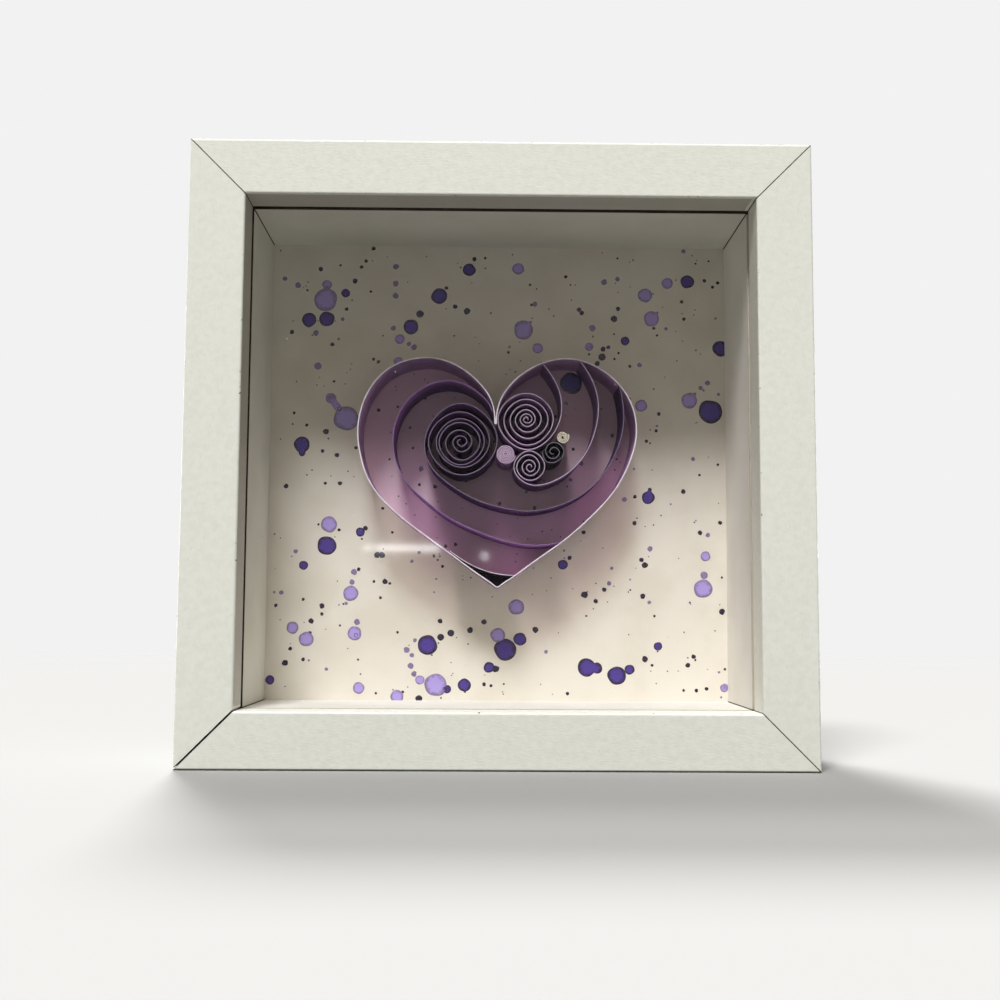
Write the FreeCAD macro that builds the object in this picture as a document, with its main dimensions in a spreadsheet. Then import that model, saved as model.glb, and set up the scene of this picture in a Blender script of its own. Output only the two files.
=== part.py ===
import FreeCAD, Part
import math
import os

import Sketcher
from FreeCAD import Placement, Rotation, Vector

# A framed quilled paper heart, in millimetres: a deep square box frame with glass in front, and behind it
# a card with paint drops, on which strips of paper stand on edge.
# The frame faces -Y and stands on its bottom rail, +Z is up, and the origin is under its middle.

# Driving sizes: alias, value, meaning.
SIZES = (
    ("frame_size", 150.0, "outer width and height of the square frame"),
    ("face_width", 13.5, "width of a rail's front face"),
    ("lip_cover", 3.5, "how far the lip of a rail covers the glass"),
    ("lip_depth", 9.8, "front face to glass"),
    ("edge_round", 0.6, "radius of the rails' wrapped edges"),
    ("mitre_gap", 0.1, "hairline left open in a mitre"),
    ("open_mitre_gap", 0.4, "the lower left mitre, which has come open"),
    ("fit_gap", 0.25, "play between the rebate and what lies in it"),
    ("glass_thickness", 2.0, "glass pane"),
    ("spacer_thickness", 3.25, "wall of the inner box between glass and card"),
    ("spacer_height", 31.2, "glass to card"),
    ("card_thickness", 0.4, "card that carries the quilling"),
    ("paint_depth", 0.06, "how deep the paint lies in the card's face"),
    ("board_thickness", 3.0, "back board"),
    ("back_recess", 3.6, "board to the back of the rails"),
    ("point_length", 13.0, "retaining point, along its bite"),
    ("point_width", 5.0, "retaining point, across"),
    ("point_thickness", 0.5, "retaining point, sheet"),
    ("point_bite", 4.0, "how far a retaining point goes into the rail"),
    ("point_spread", 35.0, "retaining point from the middle of its rail"),
    ("nail_leg", 6.0, "leg of a corner nail"),
    ("nail_sheet", 0.5, "sheet of a corner nail"),
    ("nail_height", 7.0, "how deep a corner nail goes in from the back"),
    ("nail_inset", 4.5, "apex of a corner nail from both outer sides"),
    ("hanger_length", 36.0, "hanger, overall"),
    ("hanger_height", 7.0, "hanger, top to the tips of its teeth"),
    ("hanger_sheet", 0.6, "hanger, sheet"),
    ("hanger_rise", 1.4, "gap between board and toothed part"),
    ("hanger_foot", 5.0, "flat foot at each end of the hanger"),
    ("hanger_drop", 8.0, "top of the board to the top of the hanger"),
    ("tooth_pitch", 2.4, "hanger tooth to tooth"),
    ("tooth_depth", 1.4, "hanger tooth, height"),
    ("pin_head_diameter", 3.0, "hanger pin, head"),
    ("pin_head_thickness", 0.6, "hanger pin, head"),
    ("pin_diameter", 1.2, "hanger pin, shank"),
    ("pin_grip", 2.0, "hanger pin, depth in the board"),
    ("strip_height", 15.0, "width of the paper strips, which stand on edge"),
    ("strip_thickness", 0.35, "paper of the strips"),
    ("glue_gap", 0.05, "film of glue between two strips"),
    ("joint_gap", 0.15, "slit where the outline's two strips meet"),
    ("heart_width", 72.0, "heart, across both lobes"),
    ("heart_height", 59.5, "heart, lobes to tip"),
    ("heart_shift", -0.4, "heart, sideways from the frame's middle"),
    ("heart_lift", -2.2, "heart, upwards from the frame's middle"),
    ("big_coil_diameter", 19.0, "open coil left of the notch"),
    ("right_coil_diameter", 15.0, "open coil right of the notch"),
    ("small_coil_diameter", 8.2, "open coil below the right one"),
    ("dark_coil_diameter", 5.6, "loose dark coil"),
    ("pink_coil_diameter", 5.2, "tight coil between the open ones"),
    ("white_coil_diameter", 3.5, "tight white coil"),
)

doc = FreeCAD.newDocument("framed_quilled_heart")
sheet = doc.addObject("Spreadsheet::Sheet", "Sizes")
for row, (alias, number, meaning) in enumerate(SIZES, start=1):
    sheet.set(f"A{row}", alias)
    sheet.set(f"B{row}", str(number))
    sheet.set(f"C{row}", meaning)
    sheet.setAlias(f"B{row}", alias)
doc.recompute()


def size(alias):
    """The sheet's value in millimetres."""
    return float(sheet.get(alias))


# Levels from front to back, as expressions on the sheet.
DEPTH = (
    "(Sizes.lip_depth + Sizes.glass_thickness + Sizes.spacer_height"
    " + Sizes.card_thickness + Sizes.board_thickness + Sizes.back_recess)"
)
FRONT_Y = f"(-{DEPTH} / 2)"
GLASS_Y = f"({FRONT_Y} + Sizes.lip_depth)"
SPACER_Y = f"({GLASS_Y} + Sizes.glass_thickness)"
CARD_Y = f"({SPACER_Y} + Sizes.spacer_height)"
BOARD_Y = f"({CARD_Y} + Sizes.card_thickness)"
BOARD_BACK_Y = f"({BOARD_Y} + Sizes.board_thickness)"
BACK_Y = f"({DEPTH} / 2)"
WALL = "(Sizes.face_width - Sizes.lip_cover)"
HALF = "(Sizes.frame_size / 2)"
PANE = f"(Sizes.frame_size - 2 * ({WALL} + Sizes.fit_gap))"

# Mitre cuts reach this far past the rail.
CUT_MARGIN = 2.0


def level(expression):
    """The value of an expression on the sheet."""
    return float(sheet.evalExpression(expression))


def sketch_on(body, name, plane_role, offset_expression=None):
    """Starts a sketch on one of the body's own planes, or parallel to it."""
    sketch = body.newObject("Sketcher::SketchObject", name)
    plane = next(item for item in body.Origin.OriginFeatures if item.Role == plane_role)
    sketch.AttachmentSupport = [(plane, "")]
    sketch.MapMode = "FlatFace"
    if offset_expression:
        sketch.setExpression("AttachmentOffset.Base.z", offset_expression)
    doc.recompute()
    return sketch


def bind_point(sketch, line, axis, expression):
    """Ties one coordinate of a line's start to an expression."""
    kind, across = (("DistanceX", -2), ("DistanceY", -1))[axis]
    value = float(sketch.evalExpression(expression))
    if value == 0.0:
        sketch.addConstraint(Sketcher.Constraint("PointOnObject", line, 1, across))
        return
    index = sketch.addConstraint(Sketcher.Constraint(kind, -1, 1, line, 1, value))
    name = f"{kind}_{line}"
    sketch.renameConstraint(index, name)
    sketch.setExpression(f"Constraints.{name}", expression)


def draw_outline(sketch, corners):
    """Draws a closed outline with straight sides, each corner a pair of expressions."""
    first = sketch.GeometryCount
    places = [Vector(float(sketch.evalExpression(a)), float(sketch.evalExpression(b)), 0) for a, b in corners]
    for start, end in zip(places, places[1:] + places[:1]):
        sketch.addGeometry(Part.LineSegment(start, end), False)
    count = len(corners)
    for step, (across, up) in enumerate(corners):
        line = first + step
        sketch.addConstraint(Sketcher.Constraint("Coincident", line, 2, first + (step + 1) % count, 1))
        bind_point(sketch, line, 0, across)
        bind_point(sketch, line, 1, up)


def pocket(body, name, sketch, length=None):
    """Cuts the sketch towards +Y by a length, or right through both ways."""
    cut = body.newObject("PartDesign::Pocket", name)
    cut.Profile = sketch
    if length:
        cut.Type = "Length"
        cut.setExpression("Length", length)
    else:
        cut.Type = "ThroughAll"
        cut.SideType = "Symmetric"
    sketch.Visibility = False
    doc.recompute()
    return cut


def draw_mitre(sketch, end, gap):
    """Draws what a mitre takes off an end of a bottom bar, -1 or 1, half a gap back from the diagonal."""
    # Half a gap across the diagonal is this much along the bar.
    slack = f"{gap} * {math.sqrt(0.5):.6f}"
    low = f"{end} * ({HALF} - {slack} + {CUT_MARGIN})"
    high = f"{end} * ({HALF} - {slack} - Sizes.face_width - {CUT_MARGIN})"
    beyond = f"{end} * ({HALF} + 2 * {CUT_MARGIN})"
    above = f"Sizes.face_width + {CUT_MARGIN}"
    below = f"-{CUT_MARGIN}"
    draw_outline(sketch, [(low, below), (high, above), (beyond, above), (beyond, below)])


def round_edges(body, name):
    """Rounds the long wrapped edges: front outer, front inner and back outer."""
    front, back, face = level(FRONT_Y), level(BACK_Y), size("face_width")
    ridges = ((front, 0.0), (front, face), (back, 0.0))
    chosen = []
    bar = body.Tip
    for number, edge in enumerate(bar.Shape.Edges, start=1):
        middle = edge.CenterOfMass
        lengthwise = edge.Length > size("frame_size") / 2
        if lengthwise and any(math.hypot(middle.y - y, middle.z - z) < 1e-4 for y, z in ridges):
            chosen.append(f"Edge{number}")
    rounds = body.newObject("PartDesign::Fillet", name)
    rounds.Base = (bar, chosen)
    rounds.setExpression("Radius", "Sizes.edge_round")
    doc.recompute()


def mitred_bar(name, quarter_turns, corners, gaps, rounded=False):
    """A bar with 45 degree ends, drawn as the bottom one and turned about the middle of the frame."""
    body = doc.addObject("PartDesign::Body", name)
    profile = sketch_on(body, name + "_profile", "YZ_Plane")
    draw_outline(profile, corners)
    bar = body.newObject("PartDesign::Pad", name + "_bar")
    bar.Profile = profile
    bar.SideType = "Symmetric"
    bar.setExpression("Length", "Sizes.frame_size")
    profile.Visibility = False
    doc.recompute()
    if rounded:
        round_edges(body, name + "_rounds")

    mitres = sketch_on(body, name + "_mitres", "XZ_Plane")
    for end, gap in zip((-1, 1), gaps):
        draw_mitre(mitres, end, gap)
    pocket(body, name + "_mitre_cuts", mitres)

    turn = math.radians(90 * quarter_turns)
    body.Placement = Placement(Vector(), Rotation(Vector(0, 1, 0), 90 * quarter_turns))
    body.setExpression("Placement.Base.x", f"{-round(math.sin(turn))} * {HALF}")
    body.setExpression("Placement.Base.z", f"{1 - round(math.cos(turn))} * {HALF}")
    return body


def rail(name, quarter_turns, gaps):
    """A rail of L section: a wall, and a lip in front of the glass."""
    corners = [
        (FRONT_Y, "0"),
        (BACK_Y, "0"),
        (BACK_Y, WALL),
        (GLASS_Y, WALL),
        (GLASS_Y, "Sizes.face_width"),
        (FRONT_Y, "Sizes.face_width"),
    ]
    body = mitred_bar(name, quarter_turns, corners, gaps, rounded=True)

    point_slots = sketch_on(body, name + "_point_slots", "XZ_Plane", f"-{BOARD_BACK_Y}")
    for side in (-1, 1):
        left = f"{side} * Sizes.point_spread - Sizes.point_width / 2"
        right = f"{side} * Sizes.point_spread + Sizes.point_width / 2"
        deep = f"{WALL} - Sizes.point_bite"
        draw_outline(point_slots, [(left, deep), (right, deep), (right, WALL), (left, WALL)])
    pocket(body, name + "_point_slot_cuts", point_slots, "Sizes.point_thickness")

    nail_slots = sketch_on(body, name + "_nail_slots", "XZ_Plane", f"-({BACK_Y} - Sizes.nail_height)")
    for side in (-1, 1):
        apex = f"{side} * ({HALF} - Sizes.nail_inset + Sizes.nail_sheet / 2)"
        tip = f"{side} * ({HALF} - Sizes.nail_inset - Sizes.nail_leg)"
        low = "Sizes.nail_inset - Sizes.nail_sheet / 2"
        high = "Sizes.nail_inset + Sizes.nail_sheet / 2"
        draw_outline(nail_slots, [(apex, low), (tip, low), (tip, high), (apex, high)])
    pocket(body, name + "_nail_slot_cuts", nail_slots, "Sizes.nail_height")
    return body


def spacer(name, quarter_turns):
    """One wall of the inner box that keeps the glass off the card."""
    outer = f"{WALL} + Sizes.fit_gap"
    inner = f"{WALL} + Sizes.fit_gap + Sizes.spacer_thickness"
    corners = [(SPACER_Y, outer), (CARD_Y, outer), (CARD_Y, inner), (SPACER_Y, inner)]
    return mitred_bar(name, quarter_turns, corners, ("Sizes.mitre_gap", "Sizes.mitre_gap"))


def sheet_box(name, near, thickness):
    """A square pane or board that fills the rebate."""
    box = doc.addObject("Part::Box", name)
    box.setExpression("Length", PANE)
    box.setExpression("Width", thickness)
    box.setExpression("Height", PANE)
    box.setExpression("Placement.Base.x", f"-{PANE} / 2")
    box.setExpression("Placement.Base.y", near)
    box.setExpression("Placement.Base.z", f"{HALF} - {PANE} / 2")
    return box


def coded(name, shape):
    """A document object whose shape is made in code from the sheet's sizes."""
    feature = doc.addObject("Part::Feature", name)
    feature.Shape = shape
    return feature


def cut(name, base, tool):
    """The base without the tool."""
    result = doc.addObject("Part::Cut", name)
    result.Base = base
    result.Tool = tool
    return result


def four_turns(shape):
    """Copies of a shape on all four sides of the frame."""
    middle = Vector(0, 0, size("frame_size") / 2)
    copies = []
    for quarter in range(4):
        copy = shape.copy()
        copy.rotate(middle, Vector(0, 1, 0), 90 * quarter)
        copies.append(copy)
    return copies


def extruded(corners, depth):
    """A flat outline with straight sides, pushed out along a vector."""
    return Part.Face(Part.makePolygon(corners + corners[:1])).extrude(depth)


def retaining_points():
    """Sheet points that are pushed into the rails and hold the board: two on each side."""
    width, length, bite = size("point_width"), size("point_length"), size("point_bite")
    near, wall = level(BOARD_BACK_Y), level(WALL)
    shoulder = length - width / 2
    low = wall - bite
    points = []
    for side in (-1, 1):
        middle = side * size("point_spread")
        outline = (
            (-width / 2, 0),
            (width / 2, 0),
            (width / 2, shoulder),
            (width / 4, length),
            (-width / 4, length),
            (-width / 2, shoulder),
        )
        corners = [Vector(middle + across, near, low + up) for across, up in outline]
        points += four_turns(extruded(corners, Vector(0, size("point_thickness"), 0)))
    return Part.Compound(points)


def corner_nails():
    """V nails that hold the mitres from the back: one in each corner."""
    half, inset = size("frame_size") / 2, size("nail_inset")
    leg, nail_sheet = size("nail_leg"), size("nail_sheet")
    near = level(BACK_Y) - size("nail_height")
    outline = (
        (-nail_sheet / 2, -nail_sheet / 2),
        (leg, -nail_sheet / 2),
        (leg, nail_sheet / 2),
        (nail_sheet / 2, nail_sheet / 2),
        (nail_sheet / 2, leg),
        (-nail_sheet / 2, leg),
    )
    corners = [Vector(inset - half + across, near, inset + up) for across, up in outline]
    return Part.Compound(four_turns(extruded(corners, Vector(0, size("nail_height"), 0))))


def hanger_top():
    """Height of the hanger's upper edge."""
    return level(f"{HALF} + {PANE} / 2 - Sizes.hanger_drop")


def pin_places():
    """Where the hanger's two pins go into the board."""
    across = (size("hanger_length") - size("hanger_foot")) / 2
    up = hanger_top() - size("hanger_height") / 2
    return [Vector(side * across, level(BOARD_BACK_Y), up) for side in (-1, 1)]


def pin_holes():
    """Holes for the pins, through the hanger's feet and down into the board."""
    radius = size("pin_diameter") / 2
    depth = size("pin_grip") + size("hanger_sheet")
    bottoms = [place - Vector(0, size("pin_grip"), 0) for place in pin_places()]
    return Part.Compound([Part.makeCylinder(radius, depth, bottom, Vector(0, 1, 0)) for bottom in bottoms])


def hanger():
    """Sawtooth hanger: two flat feet, and between them a raised strip with teeth along its lower edge."""
    metal, rise = size("hanger_sheet"), size("hanger_rise")
    back, top, height = level(BOARD_BACK_Y), hanger_top(), size("hanger_height")
    half = size("hanger_length") / 2
    bend = half - size("hanger_foot")
    crown = bend - rise
    section = (
        (-half, 0),
        (-bend, 0),
        (-crown, rise),
        (crown, rise),
        (bend, 0),
        (half, 0),
        (half, metal),
        (bend + metal / 2, metal),
        (crown + metal / 2, rise + metal),
        (-crown - metal / 2, rise + metal),
        (-bend - metal / 2, metal),
        (-half, metal),
    )
    low = top - height
    plate = extruded([Vector(across, back + out, low) for across, out in section], Vector(0, 0, height))
    pitch, tooth = size("tooth_pitch"), size("tooth_depth")
    count = int((2 * crown - metal) // pitch)
    notches = []
    for number in range(count):
        middle = (number - (count - 1) / 2) * pitch
        outline = ((-pitch / 2, 0), (pitch / 2, 0), (0, tooth))
        corners = [Vector(middle + across, back, low + up) for across, up in outline]
        notches.append(extruded(corners, Vector(0, rise + 2 * metal, 0)))
    return plate.cut(Part.Compound(notches)).cut(pin_holes())


def hanger_pins():
    """Two small pins with flat heads."""
    head_radius, head_thickness = size("pin_head_diameter") / 2, size("pin_head_thickness")
    shank_radius, shank_length = size("pin_diameter") / 2, size("pin_grip") + size("hanger_sheet")
    pins = []
    for place in pin_places():
        seat = place + Vector(0, size("hanger_sheet"), 0)
        head = Part.makeCylinder(head_radius, head_thickness, seat, Vector(0, 1, 0))
        shank = Part.makeCylinder(shank_radius, shank_length, seat, Vector(0, -1, 0))
        pins.append(head.fuse(shank).removeSplitter())
    return Part.Compound(pins)


# The main paint drops on the card: sideways and upwards from the frame's middle, and radius.
DARK_DROPS = (
    (-51.6, 40.8, 1.8), (-46.8, 41.1, 1.9), (-41.8, 48.3, 1.1), (-23.9, 39.1, 1.9), (-16.3, 47.7, 2.0),
    (-8.2, 55.1, 1.6), (51.5, 52.3, 1.7), (34.4, 35.7, 1.1), (60.4, 33.8, 2.0), (57.5, 16.4, 3.0),
    (19.7, 23.9, 2.8), (-52.9, 6.6, 2.0), (-45.7, -20.6, 2.4), (-36.8, -16.9, 1.1), (-51.8, -25.9, 1.1),
    (-60.1, -56.3, 1.1), (-18.5, -46.9, 2.4), (-15.0, -44.8, 0.8), (-12.3, -43.7, 0.8), (-13.2, -58.5, 1.0),
    (-8.6, -57.4, 1.6), (-2.1, -52.7, 1.3), (2.2, -48.0, 2.7), (6.1, -45.2, 1.6), (23.9, -52.6, 2.2),
    (26.5, -52.7, 1.2), (31.9, -54.7, 2.3), (35.3, -53.1, 1.2), (42.9, -46.9, 1.0), (40.5, -7.1, 1.6),
    (17.5, -25.3, 1.2), (31.4, 41.8, 0.8), (28.1, 31.2, 0.9), (-21.5, 42.7, 0.9),
)
LILAC_DROPS = (
    (-47.2, 46.4, 2.9), (-46.9, 50.6, 1.2), (-49.0, 28.1, 0.9), (-45.3, 19.3, 1.3), (-43.6, 17.0, 0.9),
    (-41.1, 13.8, 3.1), (-26.9, 35.7, 1.2), (-27.2, 29.5, 1.1), (5.2, 55.5, 1.5), (6.7, 38.5, 2.4),
    (10.6, 33.5, 1.3), (39.9, 48.4, 1.8), (41.6, 41.9, 1.9), (46.0, 51.8, 1.4), (24.6, 34.0, 1.0),
    (51.8, 19.4, 2.0), (38.7, 17.9, 1.5), (-45.2, -14.9, 2.0), (-39.1, -33.3, 1.9), (-54.4, -42.5, 1.5),
    (-50.7, -45.5, 1.8), (-37.9, -43.9, 1.7), (-36.6, -58.3, 1.4), (-26.4, -60.5, 1.6), (-20.4, -56.1, 1.1),
    (-16.2, -57.4, 2.8), (0.2, -44.2, 1.8), (5.1, -36.7, 1.9), (55.1, -31.5, 2.3), (55.4, -27.9, 0.9),
    (55.8, -22.8, 1.2), (60.5, -57.8, 1.0),
)


def paint(drops):
    """Round drops of paint, flush with the card's face, those that touch run together."""
    near, depth, middle = level(CARD_Y), size("paint_depth"), size("frame_size") / 2
    half = level(PANE) / 2
    card = Part.makeBox(2 * half, depth, 2 * half, Vector(-half, near, middle - half))
    discs = [
        Part.makeCylinder(radius, depth, Vector(across, near, middle + up), Vector(0, 1, 0))
        for across, up, radius in drops
    ]
    return discs[0].multiFuse(discs[1:]).removeSplitter().common(card)


# The quilled heart. Points are sideways and upwards from its middle, on a heart that was drawn this large.
DRAWN_WIDTH = 72.0
DRAWN_HEIGHT = 59.5
OUTLINE = (
    (-0.65, 12.5), (-0.85, 15.6), (-1.8, 19.0), (-4.4, 22.9), (-8.3, 26.4), (-16.9, 29.75), (-22.7, 29.3),
    (-28.6, 26.6), (-33.3, 21.2), (-35.6, 14.9), (-36.0, 9.0), (-35.0, 3.2), (-32.8, -2.6), (-29.1, -7.6),
    (-19.7, -15.5), (-8.3, -23.7), (-2.8, -27.6), (-0.7, -29.1), (0.2, -29.6), (1.1, -29.1), (3.3, -27.6),
    (8.7, -23.7), (16.2, -18.3), (24.1, -11.5), (30.3, -4.6), (34.5, 3.6), (36.0, 12.1), (34.1, 19.4),
    (28.2, 26.2), (19.2, 29.75), (9.4, 27.6), (3.4, 22.9), (0.5, 18.1), (-0.15, 15.2), (-0.25, 12.5),
)
OUTLINE_JOINT = (-33.2, -2.0)
NOTCH_END = (-0.45, 12.5)
LEFT_SWIRL = (
    (-1.3, 15.8), (-2.6, 18.4), (-4.9, 20.7), (-8.6, 22.9), (-13.5, 23.7), (-18.6, 22.3), (-23.6, 18.2),
    (-26.6, 11.7), (-26.7, 5.2), (-24.1, -1.5), (-17.8, -8.0), (-10.1, -13.1), (-2.7, -16.2), (4.4, -18.3),
    (10.1, -18.8), (14.4, -18.4), (17.9, -17.4),
)
TIP_STRIP = (
    (-12.1, -20.3), (-9.85, -21.9), (-8.0, -23.1), (-4.9, -24.7), (-1.6, -25.8), (1.6, -26.4), (6.4, -26.5),
)
BIG_TAIL = (
    (-9.3, -5.1), (-4.0, -7.7), (2.2, -9.4), (8.7, -10.0), (15.3, -8.7), (22.2, -5.4), (27.8, 0.2),
    (30.7, 5.4), (32.7, 13.7), (32.4, 18.7), (31.7, 22.2), (30.3, 26.2),
)
RIGHT_TAIL = ((16.6, 18.2), (15.9, 21.7), (13.6, 26.0), (11.0, 29.2))
SMALL_TAIL = (
    (12.0, -3.1), (16.6, -1.2), (21.2, 2.8), (24.4, 8.3), (26.0, 14.3), (26.0, 19.4), (24.4, 24.6),
    (22.2, 28.2), (20.7, 30.4),
)

# An open coil: the angle of its eye, its sense, and its radius at each quarter turn outwards, as a share
# of the coil's own radius. The turns of a hand-made coil are uneven.
BIG_COIL = (90, 1, (
    0.05, 0.08, 0.13, 0.17, 0.16, 0.21, 0.28, 0.30, 0.31, 0.40, 0.51, 0.53, 0.52, 0.58, 0.64, 0.64,
    0.62, 0.66, 0.71, 0.78, 0.81, 0.87, 0.91, 0.99, 1.04, 0.98,
))
RIGHT_COIL = (0, 1, (
    0.05, 0.09, 0.11, 0.12, 0.18, 0.19, 0.22, 0.24, 0.29, 0.34, 0.39, 0.44, 0.50, 0.51, 0.57, 0.66,
    0.74, 0.70, 0.78, 0.89, 0.91, 0.91, 0.99, 1.04, 1.15,
))
SMALL_COIL = (0, 1, (
    0.13, 0.17, 0.21, 0.29, 0.35, 0.44, 0.47, 0.53, 0.61, 0.77, 0.82, 0.85, 0.94, 1.00, 1.00, 1.11,
))
DARK_COIL = (270, -1, (0.21, 0.30, 0.39, 0.55, 0.63, 0.70, 0.88, 1.00, 1.00, 1.02))

# Directions from the end of the notch to the middles of the two coils beside it, in degrees.
BIG_COIL_BEARING = 207.0
RIGHT_COIL_BEARING = 9.0
# Where the big coil opens into its tail: angle and share of its radius.
BIG_LEAD_OUT = ((225, 1.06), (257, 1.21))
# A tight coil starts this far from its middle, and its points are this many degrees apart.
TIGHT_EYE = 0.3
TIGHT_STEP = 45
# The directions in which the outer ends of the two tight coils point, in degrees.
PINK_END = -10
WHITE_END = 30
# Pairs of tangent arcs that follow each span of a strip's middle line, and the turn, in radians, under
# which an arc is a straight line.
ARC_PAIRS = 2
STRAIGHT = 1e-5
BISECTIONS = 30
# Rounds of laying one coil against its uneven neighbours.
NESTLE_ROUNDS = 8


def heart_point(across, up):
    """A point of the drawn heart, on the front edges of the strips."""
    return Vector(
        size("heart_shift") + across * size("heart_width") / DRAWN_WIDTH,
        level(CARD_Y) - size("strip_height"),
        size("frame_size") / 2 + size("heart_lift") + up * size("heart_height") / DRAWN_HEIGHT,
    )


def smooth(points):
    """One smooth curve through the points."""
    curve = Part.BSplineCurve()
    curve.interpolate(points)
    return curve


def left_of(along):
    """A direction turned a quarter to the left, as seen from the front."""
    return Vector(-along.z, 0, along.x)


def arc_joint(start, start_along, end, end_along):
    """Where two tangent arcs between two points meet, and their direction there."""
    chord = end - start
    reach = chord.dot(start_along + end_along)
    square = chord.dot(chord)
    length = square / (reach + math.sqrt(reach ** 2 + 2 * (1 - start_along.dot(end_along)) * square))
    near = start + start_along * length
    far = end - end_along * length
    return (near + far) / 2, (far - near).normalize()


def arc_beside(start, start_along, end, end_along, distance):
    """The arc from one point and direction to another, moved to its left by a distance."""
    chord = end - start
    turn = math.atan2(start_along.x * chord.z - start_along.z * chord.x, start_along.dot(chord))
    first = start + left_of(start_along) * distance
    last = end + left_of(end_along) * distance
    if abs(turn) < STRAIGHT:
        return Part.makeLine(first, last)
    crown = (start + end) / 2 - left_of(chord) * (math.tan(turn / 2) / 2)
    return Part.Arc(first, crown + left_of(chord.normalize()) * distance, last).toShape()


def side_edges(curve, first, last, distance):
    """A stretch of the curve as a chain of tangent arcs, moved to its left by a distance."""
    knots = [knot for knot in curve.getKnots() if first < knot < last]
    stops = [first] + knots + [last]
    places = []
    for start, end in zip(stops, stops[1:]):
        places += [start + (end - start) * step / ARC_PAIRS for step in range(ARC_PAIRS)]
    places.append(last)
    edges = []
    for here, there in zip(places, places[1:]):
        start, end = curve.value(here), curve.value(there)
        start_along, end_along = curve.tangent(here)[0], curve.tangent(there)[0]
        joint, along = arc_joint(start, start_along, end, end_along)
        edges.append(arc_beside(start, start_along, joint, along, distance))
        edges.append(arc_beside(joint, along, end, end_along, distance))
    return edges


def start_of(edge):
    """The point where an edge starts."""
    return edge.valueAt(edge.FirstParameter)


def end_of(edge):
    """The point where an edge ends."""
    return edge.valueAt(edge.LastParameter)


def ribbon_face(left, right):
    """The edge of a paper strip, seen from the front, between its two sides."""
    ends = [
        Part.makeLine(start_of(left[0]), start_of(right[0])),
        Part.makeLine(end_of(left[-1]), end_of(right[-1])),
    ]
    return Part.Face(Part.Wire(Part.sortEdges(left + right + ends)[0]))


def strip_sides(curve, first=None, last=None):
    """A strip's two sides, half its thickness from its middle line."""
    first = curve.FirstParameter if first is None else first
    last = curve.LastParameter if last is None else last
    half = size("strip_thickness") / 2
    return [side_edges(curve, first, last, side * half) for side in (1, -1)]


def standing(face):
    """A strip of paper standing on the card."""
    return face.extrude(Vector(0, size("strip_height"), 0))


OUTLINE_CURVE = smooth([heart_point(*point) for point in OUTLINE])


def inside_outline(point):
    """Whether a point lies inside the outline's strips, clear of them by a film of glue."""
    place = OUTLINE_CURVE.parameter(point)
    along = OUTLINE_CURVE.tangent(place)[0]
    inward = Vector(-along.z, 0, along.x)
    return (point - OUTLINE_CURVE.value(place)).dot(inward) > size("strip_thickness") / 2 + size("glue_gap")


def end_at_outline(edges):
    """One side of an inner strip, as far as the outline."""
    if inside_outline(end_of(edges[-1])):
        return edges
    last_clear = max(number for number, edge in enumerate(edges) if inside_outline(start_of(edge)))
    crossing = edges[last_clear]
    low, high = crossing.ParameterRange
    for _ in range(BISECTIONS):
        middle = (low + high) / 2
        if inside_outline(crossing.valueAt(middle)):
            low = middle
        else:
            high = middle
    return edges[:last_clear] + [crossing.Curve.toShape(crossing.FirstParameter, low)]


def inner_strip(curve):
    """A strip inside the heart, which ends against the outline."""
    left, right = (end_at_outline(side) for side in strip_sides(curve))
    return standing(ribbon_face(left, right))


def whole_strip(curve, first=None, last=None):
    """A strip that keeps its whole length."""
    left, right = strip_sides(curve, first, last)
    return standing(ribbon_face(left, right))


def outline_strips():
    """The two strips of the outline: left lobe, and tip with the right lobe."""
    curve = OUTLINE_CURVE
    joint = curve.length(curve.FirstParameter, curve.parameter(heart_point(*OUTLINE_JOINT)))
    half = size("joint_gap") / 2
    before = curve.parameterAtDistance(joint - half, curve.FirstParameter)
    after = curve.parameterAtDistance(joint + half, curve.FirstParameter)
    return whole_strip(curve, last=before), whole_strip(curve, first=after)


def polar(middle, degrees, radius):
    """The point at an angle and a radius from a middle."""
    turn = math.radians(degrees)
    return middle + Vector(math.cos(turn), 0, math.sin(turn)) * radius


def coil_points(middle, coil, radius):
    """The points of an open coil, from its eye outwards."""
    eye, sense, shares = coil
    return [polar(middle, eye + sense * 90 * step, share * radius) for step, share in enumerate(shares)]


def outer_radius(coil, radius, degrees):
    """How far the outermost turn of an open coil reaches in a direction, paper included."""
    eye, sense, shares = coil
    turns = sense * (degrees - eye) / 90 % 4
    steps = len(shares) - 1
    place = turns + 4 * math.floor((steps - turns) / 4)
    low = min(int(place), steps - 1)
    share = shares[low] + (shares[low + 1] - shares[low]) * (place - low)
    return share * radius + size("strip_thickness") / 2


def bearing(start, end):
    """Direction from one point to another, in degrees."""
    return math.degrees(math.atan2(end.z - start.z, end.x - start.x))


def nestle(first, second, reach, guess):
    """The middle of a round thing that touches two others, on the side of the guess."""
    place = guess
    # The coils are uneven, so a second film of glue keeps the high spots apart.
    gap = 2 * size("glue_gap")
    for _ in range(NESTLE_ROUNDS):
        far = first[1](bearing(first[0], place)) + reach(bearing(place, first[0])) + gap
        near = second[1](bearing(second[0], place)) + reach(bearing(place, second[0])) + gap
        line = second[0] - first[0]
        along = (far ** 2 - near ** 2 + line.Length ** 2) / (2 * line.Length)
        aside = math.sqrt(far ** 2 - along ** 2)
        unit = Vector(line).normalize()
        normal = Vector(-unit.z, 0, unit.x)
        side = 1 if (guess - first[0]).dot(normal) > 0 else -1
        place = first[0] + unit * along + normal * side * aside
    return place


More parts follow.
